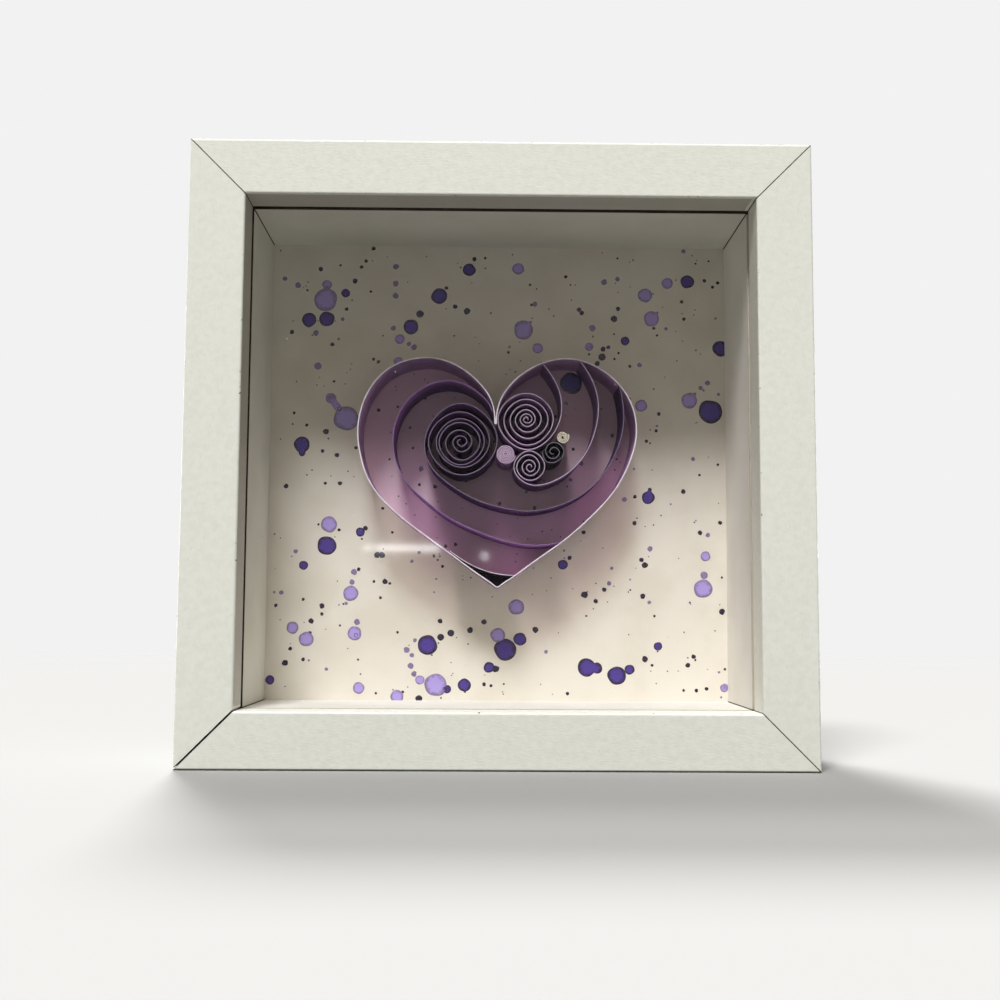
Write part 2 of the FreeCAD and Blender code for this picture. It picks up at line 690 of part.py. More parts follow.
def tight_coil(middle, diameter, end_angle):
    """A strip rolled up tight: one long spiral with hardly any air between its turns."""
    pitch = size("strip_thickness") + size("glue_gap")
    outer = diameter / 2 - size("strip_thickness") / 2
    degrees = (outer - TIGHT_EYE) / pitch * 360
    steps = max(8, round(degrees / TIGHT_STEP))
    points = []
    for step in range(steps + 1):
        share = step / steps
        radius = TIGHT_EYE + (outer - TIGHT_EYE) * share
        points.append(polar(middle, end_angle - degrees * (1 - share), radius))
    return whole_strip(smooth(points))


def heart_coils():
    """The six coils, each laid against its neighbours, and the tails that three of them run out into."""
    names = ("big", "right", "small", "dark", "pink", "white")
    radius = {name: size(f"{name}_coil_diameter") / 2 for name in names}
    notch = heart_point(*NOTCH_END)
    # From the middle line between the outline's two ends to the middle line of a coil's outer turn.
    beside = 1.5 * size("strip_thickness") + 2 * size("glue_gap")
    big_middle = polar(notch, BIG_COIL_BEARING, radius["big"] + beside)
    right_middle = polar(notch, RIGHT_COIL_BEARING, radius["right"] + beside)

    def round_reach(name, coil=None):
        if coil is None:
            return lambda degrees: radius[name]
        return lambda degrees: outer_radius(coil, radius[name], degrees)

    big = (big_middle, round_reach("big", BIG_COIL))
    right = (right_middle, round_reach("right", RIGHT_COIL))
    # Each guess only says on which side of its two neighbours a coil lies.
    below = Vector(0, 0, -radius["right"])
    pink_reach = round_reach("pink")
    pink = (nestle(big, right, pink_reach, (big_middle + right_middle) * 0.5 + below), pink_reach)
    small_reach = round_reach("small", SMALL_COIL)
    small = (nestle(pink, right, small_reach, right_middle + below * 1.6), small_reach)
    dark_reach = round_reach("dark", DARK_COIL)
    aside = Vector(radius["right"], 0, 0)
    dark = (nestle(small, right, dark_reach, right_middle + aside + below), dark_reach)
    white_middle = nestle(dark, right, round_reach("white"), right_middle + aside * 1.5 + below * 0.5)

    big_points = coil_points(big_middle, BIG_COIL, radius["big"])
    big_points += [polar(big_middle, degrees, share * radius["big"]) for degrees, share in BIG_LEAD_OUT]
    big_points += [heart_point(*point) for point in BIG_TAIL]
    right_points = coil_points(right_middle, RIGHT_COIL, radius["right"])
    right_points += [heart_point(*point) for point in RIGHT_TAIL]
    small_points = coil_points(small[0], SMALL_COIL, radius["small"])
    small_points += [heart_point(*point) for point in SMALL_TAIL]
    return {
        "big_coil": inner_strip(smooth(big_points)),
        "right_coil": inner_strip(smooth(right_points)),
        "small_coil": inner_strip(smooth(small_points)),
        "dark_coil": inner_strip(smooth(coil_points(dark[0], DARK_COIL, radius["dark"]))),
        "pink_tight_coil": tight_coil(pink[0], size("pink_coil_diameter"), PINK_END),
        "white_tight_coil": tight_coil(white_middle, size("white_coil_diameter"), WHITE_END),
    }


parts = {}

# The frame: four rails, each turned a quarter further round, and the pieces in their rebate.
usual = "Sizes.mitre_gap"
opened = "(2 * Sizes.open_mitre_gap - Sizes.mitre_gap)"
parts["rail_bottom"] = rail("rail_bottom", 0, (usual, usual))
parts["rail_left"] = rail("rail_left", 1, (usual, opened))
parts["rail_top"] = rail("rail_top", 2, (usual, usual))
parts["rail_right"] = rail("rail_right", 3, (usual, usual))
for turns, side_name in enumerate(("bottom", "left", "top", "right")):
    parts[f"spacer_{side_name}"] = spacer(f"spacer_{side_name}", turns)
parts["glass_pane"] = sheet_box("glass_pane", GLASS_Y, "Sizes.glass_thickness")

# The card, with paint flush in its face.
dark_paint = paint(DARK_DROPS)
lilac_paint = paint(LILAC_DROPS).cut(dark_paint)
parts["paint_drops_dark"] = coded("paint_drops_dark", Part.Compound(dark_paint.Solids))
parts["paint_drops_lilac"] = coded("paint_drops_lilac", Part.Compound(lilac_paint.Solids))
card_blank = sheet_box("card_blank", CARD_Y, "Sizes.card_thickness")
paint_beds = coded("paint_beds", Part.Compound(dark_paint.Solids + lilac_paint.Solids))
parts["backing_card"] = cut("backing_card", card_blank, paint_beds)

# The back: board, points, corner nails and hanger.
board_blank = sheet_box("board_blank", BOARD_Y, "Sizes.board_thickness")
parts["back_board"] = cut("back_board", board_blank, coded("board_holes", pin_holes()))
parts["retaining_points"] = coded("retaining_points", retaining_points())
parts["corner_nails"] = coded("corner_nails", corner_nails())
parts["sawtooth_hanger"] = coded("sawtooth_hanger", hanger())
parts["hanger_pins"] = coded("hanger_pins", hanger_pins())

# The quilling.
left_lobe, right_lobe = outline_strips()
parts["outline_left_strip"] = coded("outline_left_strip", left_lobe)
parts["outline_right_strip"] = coded("outline_right_strip", right_lobe)
parts["left_swirl"] = coded("left_swirl", inner_strip(smooth([heart_point(*point) for point in LEFT_SWIRL])))
parts["tip_strip"] = coded("tip_strip", inner_strip(smooth([heart_point(*point) for point in TIP_STRIP])))
for part_name, coil_shape in heart_coils().items():
    parts[part_name] = coded(part_name, coil_shape)

doc.recompute()
for part_name, part in parts.items():
    part.Label = part_name
for item in doc.Objects:
    faults = [state for state in item.State if state in ("Invalid", "Error")]
    if faults:
        raise RuntimeError(f"{item.Label} is {faults}")
os.makedirs("parts", exist_ok=True)
for part_name, part in parts.items():
    shape = part.Shape
    if shape.isNull() or not shape.isValid() or not shape.Solids or shape.Volume <= 0:
        raise RuntimeError(f"{part_name} has no valid solid")
    shape.exportStep(f"parts/{part_name}.step")
    print(f"{part_name}: {len(shape.Solids)} solids, {shape.Volume:.1f} mm3")
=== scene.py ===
"""The looks of the framed quilled paper art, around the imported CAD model.

Everything is in metres and in the frame of the CAD: the origin under the middle of the frame, +Z up,
and the picture facing -Y. Sizes that a maker would give in millimetres are written times MM.
"""

import logging
import math
import random
from dataclasses import dataclass
from enum import Enum

import bmesh
import bpy
import numpy as np
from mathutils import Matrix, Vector


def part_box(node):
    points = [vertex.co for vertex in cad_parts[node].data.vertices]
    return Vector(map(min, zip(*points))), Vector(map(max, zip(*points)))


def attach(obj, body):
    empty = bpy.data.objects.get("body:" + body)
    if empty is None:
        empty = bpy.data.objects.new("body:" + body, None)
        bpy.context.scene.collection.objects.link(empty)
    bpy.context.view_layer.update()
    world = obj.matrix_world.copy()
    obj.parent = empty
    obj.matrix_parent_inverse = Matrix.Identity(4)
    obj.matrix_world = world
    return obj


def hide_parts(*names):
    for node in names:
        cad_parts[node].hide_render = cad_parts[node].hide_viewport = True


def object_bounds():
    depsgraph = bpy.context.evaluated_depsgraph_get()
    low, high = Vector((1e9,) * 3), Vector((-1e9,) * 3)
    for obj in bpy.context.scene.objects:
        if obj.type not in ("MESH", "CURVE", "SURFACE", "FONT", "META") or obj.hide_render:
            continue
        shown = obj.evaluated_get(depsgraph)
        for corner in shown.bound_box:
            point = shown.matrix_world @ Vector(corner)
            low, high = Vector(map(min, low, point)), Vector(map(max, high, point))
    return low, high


MM = 0.001
LOG = logging.getLogger("quilled_heart")

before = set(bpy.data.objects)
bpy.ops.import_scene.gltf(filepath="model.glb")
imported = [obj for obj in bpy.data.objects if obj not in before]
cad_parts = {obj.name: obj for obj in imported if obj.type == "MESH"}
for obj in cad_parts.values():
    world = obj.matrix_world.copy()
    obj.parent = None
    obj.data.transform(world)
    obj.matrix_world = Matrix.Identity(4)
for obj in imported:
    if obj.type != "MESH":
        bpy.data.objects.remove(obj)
CAD_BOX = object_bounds()
MIDDLE = (CAD_BOX[0][2] + CAD_BOX[1][2]) / 2

Point = tuple[float, float]
Place = tuple[float, float, float]
Colour = tuple[float, float, float, float]
Face = tuple[int, ...]
Socket = bpy.types.NodeSocket

GRID = 0.001 * MM
WHITE = (1.0, 1.0, 1.0, 1.0)
NOISE_LOW = 0.3
NOISE_HIGH = 0.7


@dataclass(frozen=True)
class Tone:
    """A colour as it is read off a screen, from 0 to 255 in each channel."""

    red: float
    green: float
    blue: float

    @property
    def linear(self) -> Colour:
        """The same colour for a shader's socket.

        Returns:
            Red, green, blue and alpha, linear.
        """
        shares = [channel / 255 for channel in (self.red, self.green, self.blue)]
        made = [s / 12.92 if s <= 0.04045 else ((s + 0.055) / 1.055) ** 2.4 for s in shares]
        return (made[0], made[1], made[2], 1.0)

    def times(self, factor: float) -> "Tone":
        """The tone made darker or lighter by a factor."""
        return Tone(self.red * factor, self.green * factor, self.blue * factor)


class Graph:
    """The nodes of one material or world, with its places read in metres."""

    def __init__(self, name: str, of_world: bool = False) -> None:
        """Starts a material or world that holds only its output.

        Args:
            name: its name.
            of_world: whether it is a world.
        """
        self.block = (bpy.data.worlds if of_world else bpy.data.materials).new(name)
        self.block.use_nodes = True
        self.tree = self.block.node_tree
        self.tree.nodes.clear()
        self.output = self.node("ShaderNodeOutputWorld" if of_world else "ShaderNodeOutputMaterial")
        self.place = self.node("ShaderNodeTexCoord").outputs["Object"]

    def node(self, kind: str, **settings: object) -> bpy.types.Node:
        """Adds a node.

        Args:
            kind: Blender's name for the node's type.
            settings: the node's own properties.

        Returns:
            The new node.
        """
        made = self.tree.nodes.new(kind)
        for name, value in settings.items():
            setattr(made, name, value)
        return made

    def feed(self, target: Socket, value: object) -> None:
        """Fills a node's input.

        Args:
            target: the input.
            value: the socket that is linked to it, or a number or colour that is written on it.
        """
        if isinstance(value, Socket):
            self.tree.links.new(value, target)
        else:
            target.default_value = value

    def math(self, operation: str, first: object, second: object = 0.0) -> Socket:
        """A sum on numbers or sockets.

        Args:
            operation: Blender's name for it.
            first: its first term.
            second: its second term, where it has one.

        Returns:
            The socket with the result.
        """
        made = self.node("ShaderNodeMath", operation=operation)
        self.feed(made.inputs[0], first)
        self.feed(made.inputs[1], second)
        return made.outputs[0]

    def stretched(self, stretch: Place) -> Socket:
        """The place, drawn out along the axes where the stretch is under one.

        Args:
            stretch: the scale along each axis.

        Returns:
            The socket with the place.
        """
        made = self.node("ShaderNodeMapping")
        self.feed(made.inputs["Vector"], self.place)
        made.inputs["Scale"].default_value = stretch
        return made.outputs["Vector"]

    def noise(self, grain: float, detail: float = 2.0, stretch: Place | None = None) -> Socket:
        """Cloudy noise.

        Args:
            grain: the size of its spots, in metres.
            detail: how many finer layers lie on it.
            stretch: scale along each axis, where the spots are drawn out.

        Returns:
            The socket with the noise, around a half.
        """
        made = self.node("ShaderNodeTexNoise")
        self.feed(made.inputs["Vector"], self.stretched(stretch) if stretch else self.place)
        made.inputs["Scale"].default_value = 1 / grain
        made.inputs["Detail"].default_value = detail
        return made.outputs["Fac"]

    def between(self, value: Socket, low: float, high: float, start: float = 0.0, end: float = 1.0) -> Socket:
        """A value taken from one range to another, and held at its ends outside.

        Args:
            value: the socket with the value.
            low: where its range starts.
            high: where its range ends.
            start: what the lowest becomes.
            end: what the highest becomes.

        Returns:
            The socket with the new value.
        """
        made = self.node("ShaderNodeMapRange", interpolation_type="SMOOTHSTEP")
        self.feed(made.inputs["Value"], value)
        for name, number in (("From Min", low), ("From Max", high), ("To Min", start), ("To Max", end)):
            made.inputs[name].default_value = number
        return made.outputs["Result"]

    def grade(self, noise: Socket, start: float = 0.0, end: float = 1.0) -> Socket:
        """The noise, taken from its usual spread to start..end."""
        return self.between(noise, NOISE_LOW, NOISE_HIGH, start, end)

    def blend(self, share: object, first: object, second: object) -> Socket:
        """A colour between two.

        Args:
            share: how much of the second shows, from 0 to 1.
            first: a colour or socket.
            second: another.

        Returns:
            The socket with the colour.
        """
        made = self.node("ShaderNodeMix", data_type="RGBA")
        for place, value in ((0, share), (6, first), (7, second)):
            self.feed(made.inputs[place], value)
        return made.outputs[2]

    def along(self, axis: str) -> Socket:
        """The place along one axis.

        Args:
            axis: X, Y or Z.

        Returns:
            The socket with it, in metres.
        """
        made = self.node("ShaderNodeSeparateXYZ")
        self.feed(made.inputs[0], self.place)
        return made.outputs[axis]

    def bump(
        self, height: Socket, depth: float, strength: float = 1.0, under: Socket | None = None
    ) -> Socket:
        """A relief.

        Args:
            height: the socket with the relief, from 0 to 1.
            depth: how deep a change of 1 is, in metres.
            strength: how much of it shows.
            under: the relief that this one lies on.

        Returns:
            The socket with the surface's new direction.
        """
        made = self.node("ShaderNodeBump")
        self.feed(made.inputs["Height"], height)
        made.inputs["Distance"].default_value = depth
        made.inputs["Strength"].default_value = strength
        if under is not None:
            self.feed(made.inputs["Normal"], under)
        return made.outputs["Normal"]

    def shader(self, kind: str, **sockets: object) -> Socket:
        """One shader.

        Args:
            kind: Blender's name for its node, after ShaderNode.
            sockets: its inputs, with spaces written as underscores.

        Returns:
            The socket with the shader.
        """
        made = self.node(f"ShaderNode{kind}")
        for name, value in sockets.items():
            self.feed(made.inputs[name.replace("_", " ").replace("ior", "IOR")], value)
        return made.outputs[0]

    def mixed(self, share: object, first: Socket, second: Socket) -> Socket:
        """Two shaders in one.

        Args:
            share: how much of the second shows, a number or a socket.
            first: a shader.
            second: another.

        Returns:
            The socket with both.
        """
        made = self.node("ShaderNodeMixShader")
        for place, value in enumerate((share, first, second)):
            self.feed(made.inputs[place], value)
        return made.outputs[0]

    def ray(self, kind: str) -> Socket:
        """One for rays of a kind, such as Camera or Shadow."""
        return self.node("ShaderNodeLightPath").outputs[f"Is {kind} Ray"]

    def finish(self, shader: Socket) -> bpy.types.Material | bpy.types.World:
        """Gives the output its shader, and returns the finished material or world."""
        self.feed(self.output.inputs["Surface"], shader)
        return self.block

    def surface(self, **sockets: object) -> bpy.types.Material:
        """Finishes the material with one principled shader, whose inputs are given by name."""
        return self.finish(self.shader("BsdfPrincipled", **sockets))


def from_middle(graph: Graph) -> tuple[Socket, Socket]:
    """How far a place lies from the picture's middle.

    Args:
        graph: the material's nodes.

    Returns:
        The distances across and up, without their signs.
    """
    across = graph.math("ABSOLUTE", graph.along("X"))
    up = graph.math("ABSOLUTE", graph.math("SUBTRACT", graph.along("Z"), MIDDLE))
    return across, up


@dataclass(frozen=True)
class FoilWrap:
    """Off-white pearly paper round the rails: finely embossed, dirty in its mitres, chipped at its edges,
    with painted shade on its top and left lips and its bottom and right edges.
    """

    name: str = "foil_wrap"
    tone: Tone = Tone(243, 243, 235)
    cloud: Tone = Tone(237, 238, 228)
    lip_shade: Tone = Tone(196, 194, 184)
    outer_edge_shade: Tone = Tone(104, 104, 94)
    chip: Tone = Tone(84, 76, 68)
    joint: Tone = Tone(70, 66, 60)
    grain: float = 1.5 * MM
    emboss: float = 0.3 * MM
    relief: float = 0.035 * MM
    joint_width: float = 0.13 * MM
    chip_grain: float = 1.3 * MM
    inner_wear: Point = (0.15 * MM, 0.55 * MM)
    outer_wear: Point = (0.05 * MM, 0.5 * MM)
    front_band: Point = (0.4 * MM, 0.8 * MM)
    lip_front: Point = (0.5 * MM, 0.9 * MM)
    lip_band: Point = (0.02 * MM, 0.2 * MM)
    lip_end: float = 1 * MM
    low_edge_shade: Point = (0.12 * MM, 0.55 * MM)
    side_edge_shade: Point = (0.05 * MM, 0.35 * MM)

    def edges(self, graph: Graph, edge: Socket, inner: float, outer: float) -> Socket:
        """The front edges of the rails, where the wrap rubs through.

        Args:
            graph: the material's nodes.
            edge: how far a place lies from the picture's middle.
            inner: half the width of the opening in front of the glass.
            outer: half the width of the frame.

        Returns:
            The socket that is one there.
        """
        from_inner = graph.math("ABSOLUTE", graph.math("SUBTRACT", edge, inner))
        near_inner = graph.between(from_inner, *self.inner_wear, 1, 0)
        near_outer = graph.between(graph.math("SUBTRACT", outer, edge), *self.outer_wear, 1, 0)
        from_front = graph.math("SUBTRACT", graph.along("Y"), CAD_BOX[0][1])
        front = graph.between(from_front, *self.front_band, 1, 0)
        return graph.math("MULTIPLY", graph.math("MAXIMUM", near_inner, near_outer), front)

    def lip_shading(self, graph: Graph, edge: Socket, inner: float) -> Socket:
        """Painted shade on the inner faces of the left and top lips.

        Args:
            graph: the material's nodes.
            edge: how far a place lies from the picture's middle.
            inner: half the width of the opening in front of the glass.

        Returns:
            The socket that is one there.
        """
        in_opening = graph.between(edge, inner + self.lip_band[0], inner + self.lip_band[1], 1, 0)
        above = graph.math("GREATER_THAN", graph.along("Z"), MIDDLE - inner + self.lip_end)
        left = graph.math("LESS_THAN", graph.along("X"), inner - self.lip_end)
        lip_shade_mask = graph.math("MULTIPLY", in_opening, graph.math("MULTIPLY", above, left))
        from_front = graph.math("SUBTRACT", graph.along("Y"), CAD_BOX[0][1])
        return graph.math("MULTIPLY", lip_shade_mask, graph.between(from_front, *self.lip_front))

    def outer_edge_shading(self, graph: Graph, outer: float) -> Socket:
        """Painted shade along the bottom and right outer edges.

        Args:
            graph: the material's nodes.
            outer: half the width of the frame.

        Returns:
            The socket with the share of painted shade.
        """
        from_floor = graph.math("SUBTRACT", graph.along("Z"), CAD_BOX[0][2])
        from_right = graph.math("SUBTRACT", outer, graph.along("X"))
        lowest = graph.between(from_floor, *self.low_edge_shade, 0.85, 0)
        outermost = graph.between(from_right, *self.side_edge_shade, 0.5, 0)
        return graph.math("MAXIMUM", lowest, outermost)

    def material(self, inner: float, outer: float) -> bpy.types.Material:
        """The finish of the four rails.

        Args:
            inner: half the width of the opening in front of the glass.
            outer: half the width of the frame.

        Returns:
            The material.
        """
        graph = Graph(self.name)
        clouds = graph.between(graph.noise(self.grain, 5), 0.36, 0.68)
        colour = graph.blend(clouds, self.tone.linear, self.cloud.linear)
        across, up = from_middle(graph)
        upright = graph.math("GREATER_THAN", across, up)
        lying_fibres = graph.noise(self.emboss, 4, (0.28, 1, 1))
        standing_fibres = graph.noise(self.emboss, 4, (1, 1, 0.28))
        fibres = graph.blend(upright, lying_fibres, standing_fibres)
        dents = graph.between(fibres, 0.58, 0.72, 0, 0.5)
        colour = graph.blend(dents, colour, self.tone.times(0.93).linear)
        edge = graph.math("MAXIMUM", across, up)
        worn = graph.between(graph.noise(self.chip_grain, 5), 0.655, 0.7)
        chips = graph.math("MULTIPLY", worn, self.edges(graph, edge, inner, outer))
        colour = graph.blend(chips, colour, self.chip.linear)
        # painted shade on the inner faces of the top and left lips
        colour = graph.blend(self.lip_shading(graph, edge, inner), colour, self.lip_shade.linear)
        # painted shade along the bottom and right outer edges
        colour = graph.blend(self.outer_edge_shading(graph, outer), colour, self.outer_edge_shade.linear)
        diagonal = graph.math("ABSOLUTE", graph.math("SUBTRACT", across, up))
        joint = graph.between(diagonal, self.joint_width, self.joint_width * 1.8, 1, 0)
        colour = graph.blend(joint, colour, self.joint.linear)
        emboss = graph.bump(fibres, self.relief)
        waves = graph.bump(graph.noise(self.grain * 1.3, 3), self.relief * 3, 0.5, emboss)
        rough = graph.grade(graph.noise(self.grain, 3), 0.42, 0.58)
        return graph.surface(Base_Color=colour, Roughness=rough, Normal=waves, Specular_ior_Level=0.45)


@dataclass(frozen=True)
class BoxBoard:
    """Cream board of the inner box, with its brown cut edge at the glass, darkened there by painted shadow,
    and dark joints in its corners.
    """

    name: str = "box_board"
    tone: Tone = Tone(229, 229, 219)
    stain: Tone = Tone(223, 223, 211)
    # the board's brown cut edge, darkened with painted shadow where the glass sits
    cut_edge_and_shadow: Tone = Tone(62, 46, 36)
    joint: Tone = Tone(70, 56, 46)
    edge_depth: float = 0.5 * MM
    corner: Point = (0.3 * MM, 0.12 * MM)

    def material(self, glass_back: float, inner: float) -> bpy.types.Material:
        """The finish of the spacer walls.

        Args:
            glass_back: where the glass ends.
            inner: half the width of the inner box.

        Returns:
            The material.
        """
        graph = Graph(self.name)
        clouds = graph.between(graph.noise(16 * MM, 4), 0.35, 0.7)
        colour = graph.blend(clouds, self.tone.linear, self.stain.linear)
        fibres = graph.noise(0.5 * MM, 4, (1, 0.3, 1))
        from_glass = graph.math("SUBTRACT", graph.along("Y"), glass_back)
        edge = graph.between(from_glass, 0.6 * self.edge_depth, self.edge_depth, 1, 0)
        # the cut edge behind the glass: its own brown, with painted shadow on the top and left walls
        colour = graph.blend(edge, colour, self.cut_edge_and_shadow.linear)
        nearer = graph.math("MINIMUM", *from_middle(graph))
        corner = graph.between(nearer, inner - self.corner[0], inner - self.corner[1])
        colour = graph.blend(corner, colour, self.joint.linear)
        relief = graph.bump(fibres, 0.03 * MM, 0.7)
        rough = graph.grade(fibres, 0.7, 0.85)
        return graph.surface(Base_Color=colour, Roughness=rough, Normal=relief, Specular_ior_Level=0.3)


@dataclass(frozen=True)
class CreamCard:
    """Cream watercolour card with a fine tooth."""

    name: str = "cream_card_stock"
    tone: Tone = Tone(229, 223, 212)
    shade: Tone = Tone(222, 215, 202)
    tooth: float = 0.45 * MM

    def material(self) -> bpy.types.Material:
        """The finish of the card.

        Returns:
            The material.
        """
        graph = Graph(self.name)
        clouds = graph.between(graph.noise(11 * MM, 4), 0.35, 0.7)
        colour = graph.blend(clouds, self.tone.linear, self.shade.linear)
        tooth = graph.noise(self.tooth, 5)
        specks = graph.between(tooth, 0.62, 0.75, 0, 0.25)
        colour = graph.blend(specks, colour, self.shade.times(0.93).linear)
        relief = graph.bump(tooth, 0.05 * MM, 0.6)
        return graph.surface(Base_Color=colour, Roughness=graph.grade(tooth, 0.8, 0.92), Normal=relief)


@dataclass(frozen=True)
class DriedPaint:
    """Ink-like paint that dried darker at its rim."""

    name: str
    core: Tone
    rim: Tone

    def material(self) -> bpy.types.Material:
        """The finish of the drops, whose meshes carry the attribute rim.

        Returns:
            The material.
        """
        graph = Graph(self.name)
        rim = graph.node("ShaderNodeAttribute", attribute_name="rim").outputs["Fac"]
        mottled = graph.math("ADD", rim, graph.grade(graph.noise(0.8 * MM, 3), -0.12, 0.12))
        colour = graph.blend(graph.between(mottled, 0.55, 0.97), self.core.linear, self.rim.linear)
        relief = graph.bump(graph.noise(0.25 * MM, 2), 0.01 * MM, 0.6)
        rough = graph.between(mottled, 0.2, 1, 0.42, 0.3)
        return graph.surface(Base_Color=colour, Roughness=rough, Normal=relief, Specular_ior_Level=0.3)


class StripSide(Enum):
    """The two sorts of surface on a strip of paper."""

    FACE = 0
    CUT = 1


@dataclass(frozen=True)
class QuillingPaper:
    """Coloured paper of the strips: a dyed face that light shines through, and a paler, fuzzy cut edge."""

    name: str
    face: Tone
    cut: Tone
    glow: Tone | None = None
    passed: float = 0.0
    shade: Tone | None = None

    def material(self, side: StripSide) -> bpy.types.Material:
        """The finish of a strip's faces or of its cut edges.

        Args:
            side: which of the two.

        Returns:
            The material.
        """
        tone = self.face if side is StripSide.FACE else self.cut
        graph = Graph(f"{self.name}_{side.name.lower()}")
        fibres = graph.noise(0.22 * MM, 4, (1, 0.4, 1))
        clouds = graph.between(graph.noise(3 * MM, 3), 0.35, 0.65)
        colour = graph.blend(clouds, tone.times(0.94).linear, tone.times(1.05).linear)
        colour = graph.blend(graph.between(fibres, 0.55, 0.75, 0, 0.4), colour, tone.times(1.12).linear)
        relief = graph.bump(fibres, 0.02 * MM, 0.8)
        rough = graph.grade(fibres, 0.68, 0.85)
        shown = graph.shader(
            "BsdfPrincipled", Base_Color=colour, Roughness=rough, Normal=relief, Specular_ior_Level=0.3
        )
        if side is StripSide.FACE and self.glow is not None:
            shown = graph.mixed(self.passed, shown, graph.shader("BsdfTranslucent", Color=self.glow.linear))
        if side is StripSide.FACE and self.shade is not None:
            tinted = graph.shader("BsdfTransparent", Color=self.shade.linear)
            shown = graph.mixed(graph.ray("Shadow"), shown, tinted)
        return graph.finish(shown)


@dataclass(frozen=True)
class Glazing:
    """Thin clear glass, with a reflection as faint as the photographed one."""

    name: str = "glazing"
    bending: float = 1.14
    haze: float = 0.042

    def material(self) -> bpy.types.Material:
        """The finish of the pane: clear, and a faint soft mirror by its Fresnel share.

        Returns:
            The material.
        """
        graph = Graph(self.name)
        mirror = graph.shader("BsdfPrincipled", Base_Color=WHITE, Metallic=1.0, Roughness=self.haze)
        fresnel = graph.node("ShaderNodeFresnel")
        fresnel.inputs["IOR"].default_value = self.bending
        share = graph.math("MULTIPLY", fresnel.outputs[0], graph.ray("Camera"))
        return graph.finish(graph.mixed(share, graph.shader("BsdfTransparent"), mirror))


@dataclass(frozen=True)
class Hardboard:
    """Brown pressed fibre board of the back."""

    name: str = "hardboard"
    tone: Tone = Tone(146, 112, 80)
    dark: Tone = Tone(108, 80, 56)

    def material(self) -> bpy.types.Material:
        """The finish of the back board.

        Returns:
            The material.
        """
        graph = Graph(self.name)
        fibres = graph.noise(0.7 * MM, 6, (1, 1, 0.25))
        crossed = graph.noise(0.7 * MM, 6, (0.25, 1, 1))
        both = graph.math("MULTIPLY", graph.math("ADD", fibres, crossed), 0.5)
        colour = graph.blend(graph.between(both, 0.4, 0.62), self.dark.linear, self.tone.linear)
        stained = graph.between(graph.noise(14 * MM, 3), 0.4, 0.7, 0, 0.35)
        colour = graph.blend(stained, colour, self.tone.times(0.85).linear)
        relief = graph.bump(both, 0.08 * MM, 0.8)
        rough = graph.between(both, 0.4, 0.6, 0.62, 0.8)
        return graph.surface(Base_Color=colour, Roughness=rough, Normal=relief)


@dataclass(frozen=True)
class ZincSteel:
    """Zinc-plated sheet steel and wire, scratched and a little spotted."""

    name: str = "zinc_steel"
    tone: Tone = Tone(186, 184, 178)
    spot: Tone = Tone(140, 130, 116)

    def material(self) -> bpy.types.Material:
        """The finish of the points, nails, hanger and pins.

        Returns:
            The material.
        """
        graph = Graph(self.name)
        streaks = graph.noise(0.3 * MM, 4, (0.12, 1, 1))
        spots = graph.between(graph.noise(1.2 * MM, 4), 0.6, 0.72)
        colour = graph.blend(spots, self.tone.linear, self.spot.linear)
        rough = graph.grade(streaks, 0.26, 0.46)
        relief = graph.bump(streaks, 0.01 * MM, 0.6)
        return graph.surface(Base_Color=colour, Metallic=0.9, Roughness=rough, Normal=relief)


@dataclass(frozen=True)
class Dust:
    """Pale flecks of dust on the glass."""

    name: str = "dust_fleck"
    tone: Tone = Tone(205, 200, 188)

    def material(self) -> bpy.types.Material:
        """The finish of the flecks.

        Returns:
            The material.
        """
        graph = Graph(self.name)
        lint = graph.noise(0.08 * MM, 3)
        colour = graph.blend(graph.grade(lint), self.tone.times(0.85).linear, self.tone.linear)
        return graph.surface(Base_Color=colour, Roughness=graph.grade(lint, 0.8, 0.95))


def put(name: str, data: bpy.types.ID) -> bpy.types.Object:
    """Puts a new object into the scene.

    Args:
        name: its name.
        data: its mesh, lamp or camera.

    Returns:
        The object.
    """
    made = bpy.data.objects.new(name, data)
    bpy.context.scene.collection.objects.link(made)
    return made


def neighbours(count: int) -> list[tuple[int, int]]:
    """Each place of a closed ring with the next one."""
    return [(place, (place + 1) % count) for place in range(count)]


def between_rings(here: int, there: int, count: int) -> list[Face]:
    """The faces from one ring of places to another, by the numbers of their first places."""
    return [(here + one, there + one, there + other, here + other) for one, other in neighbours(count)]


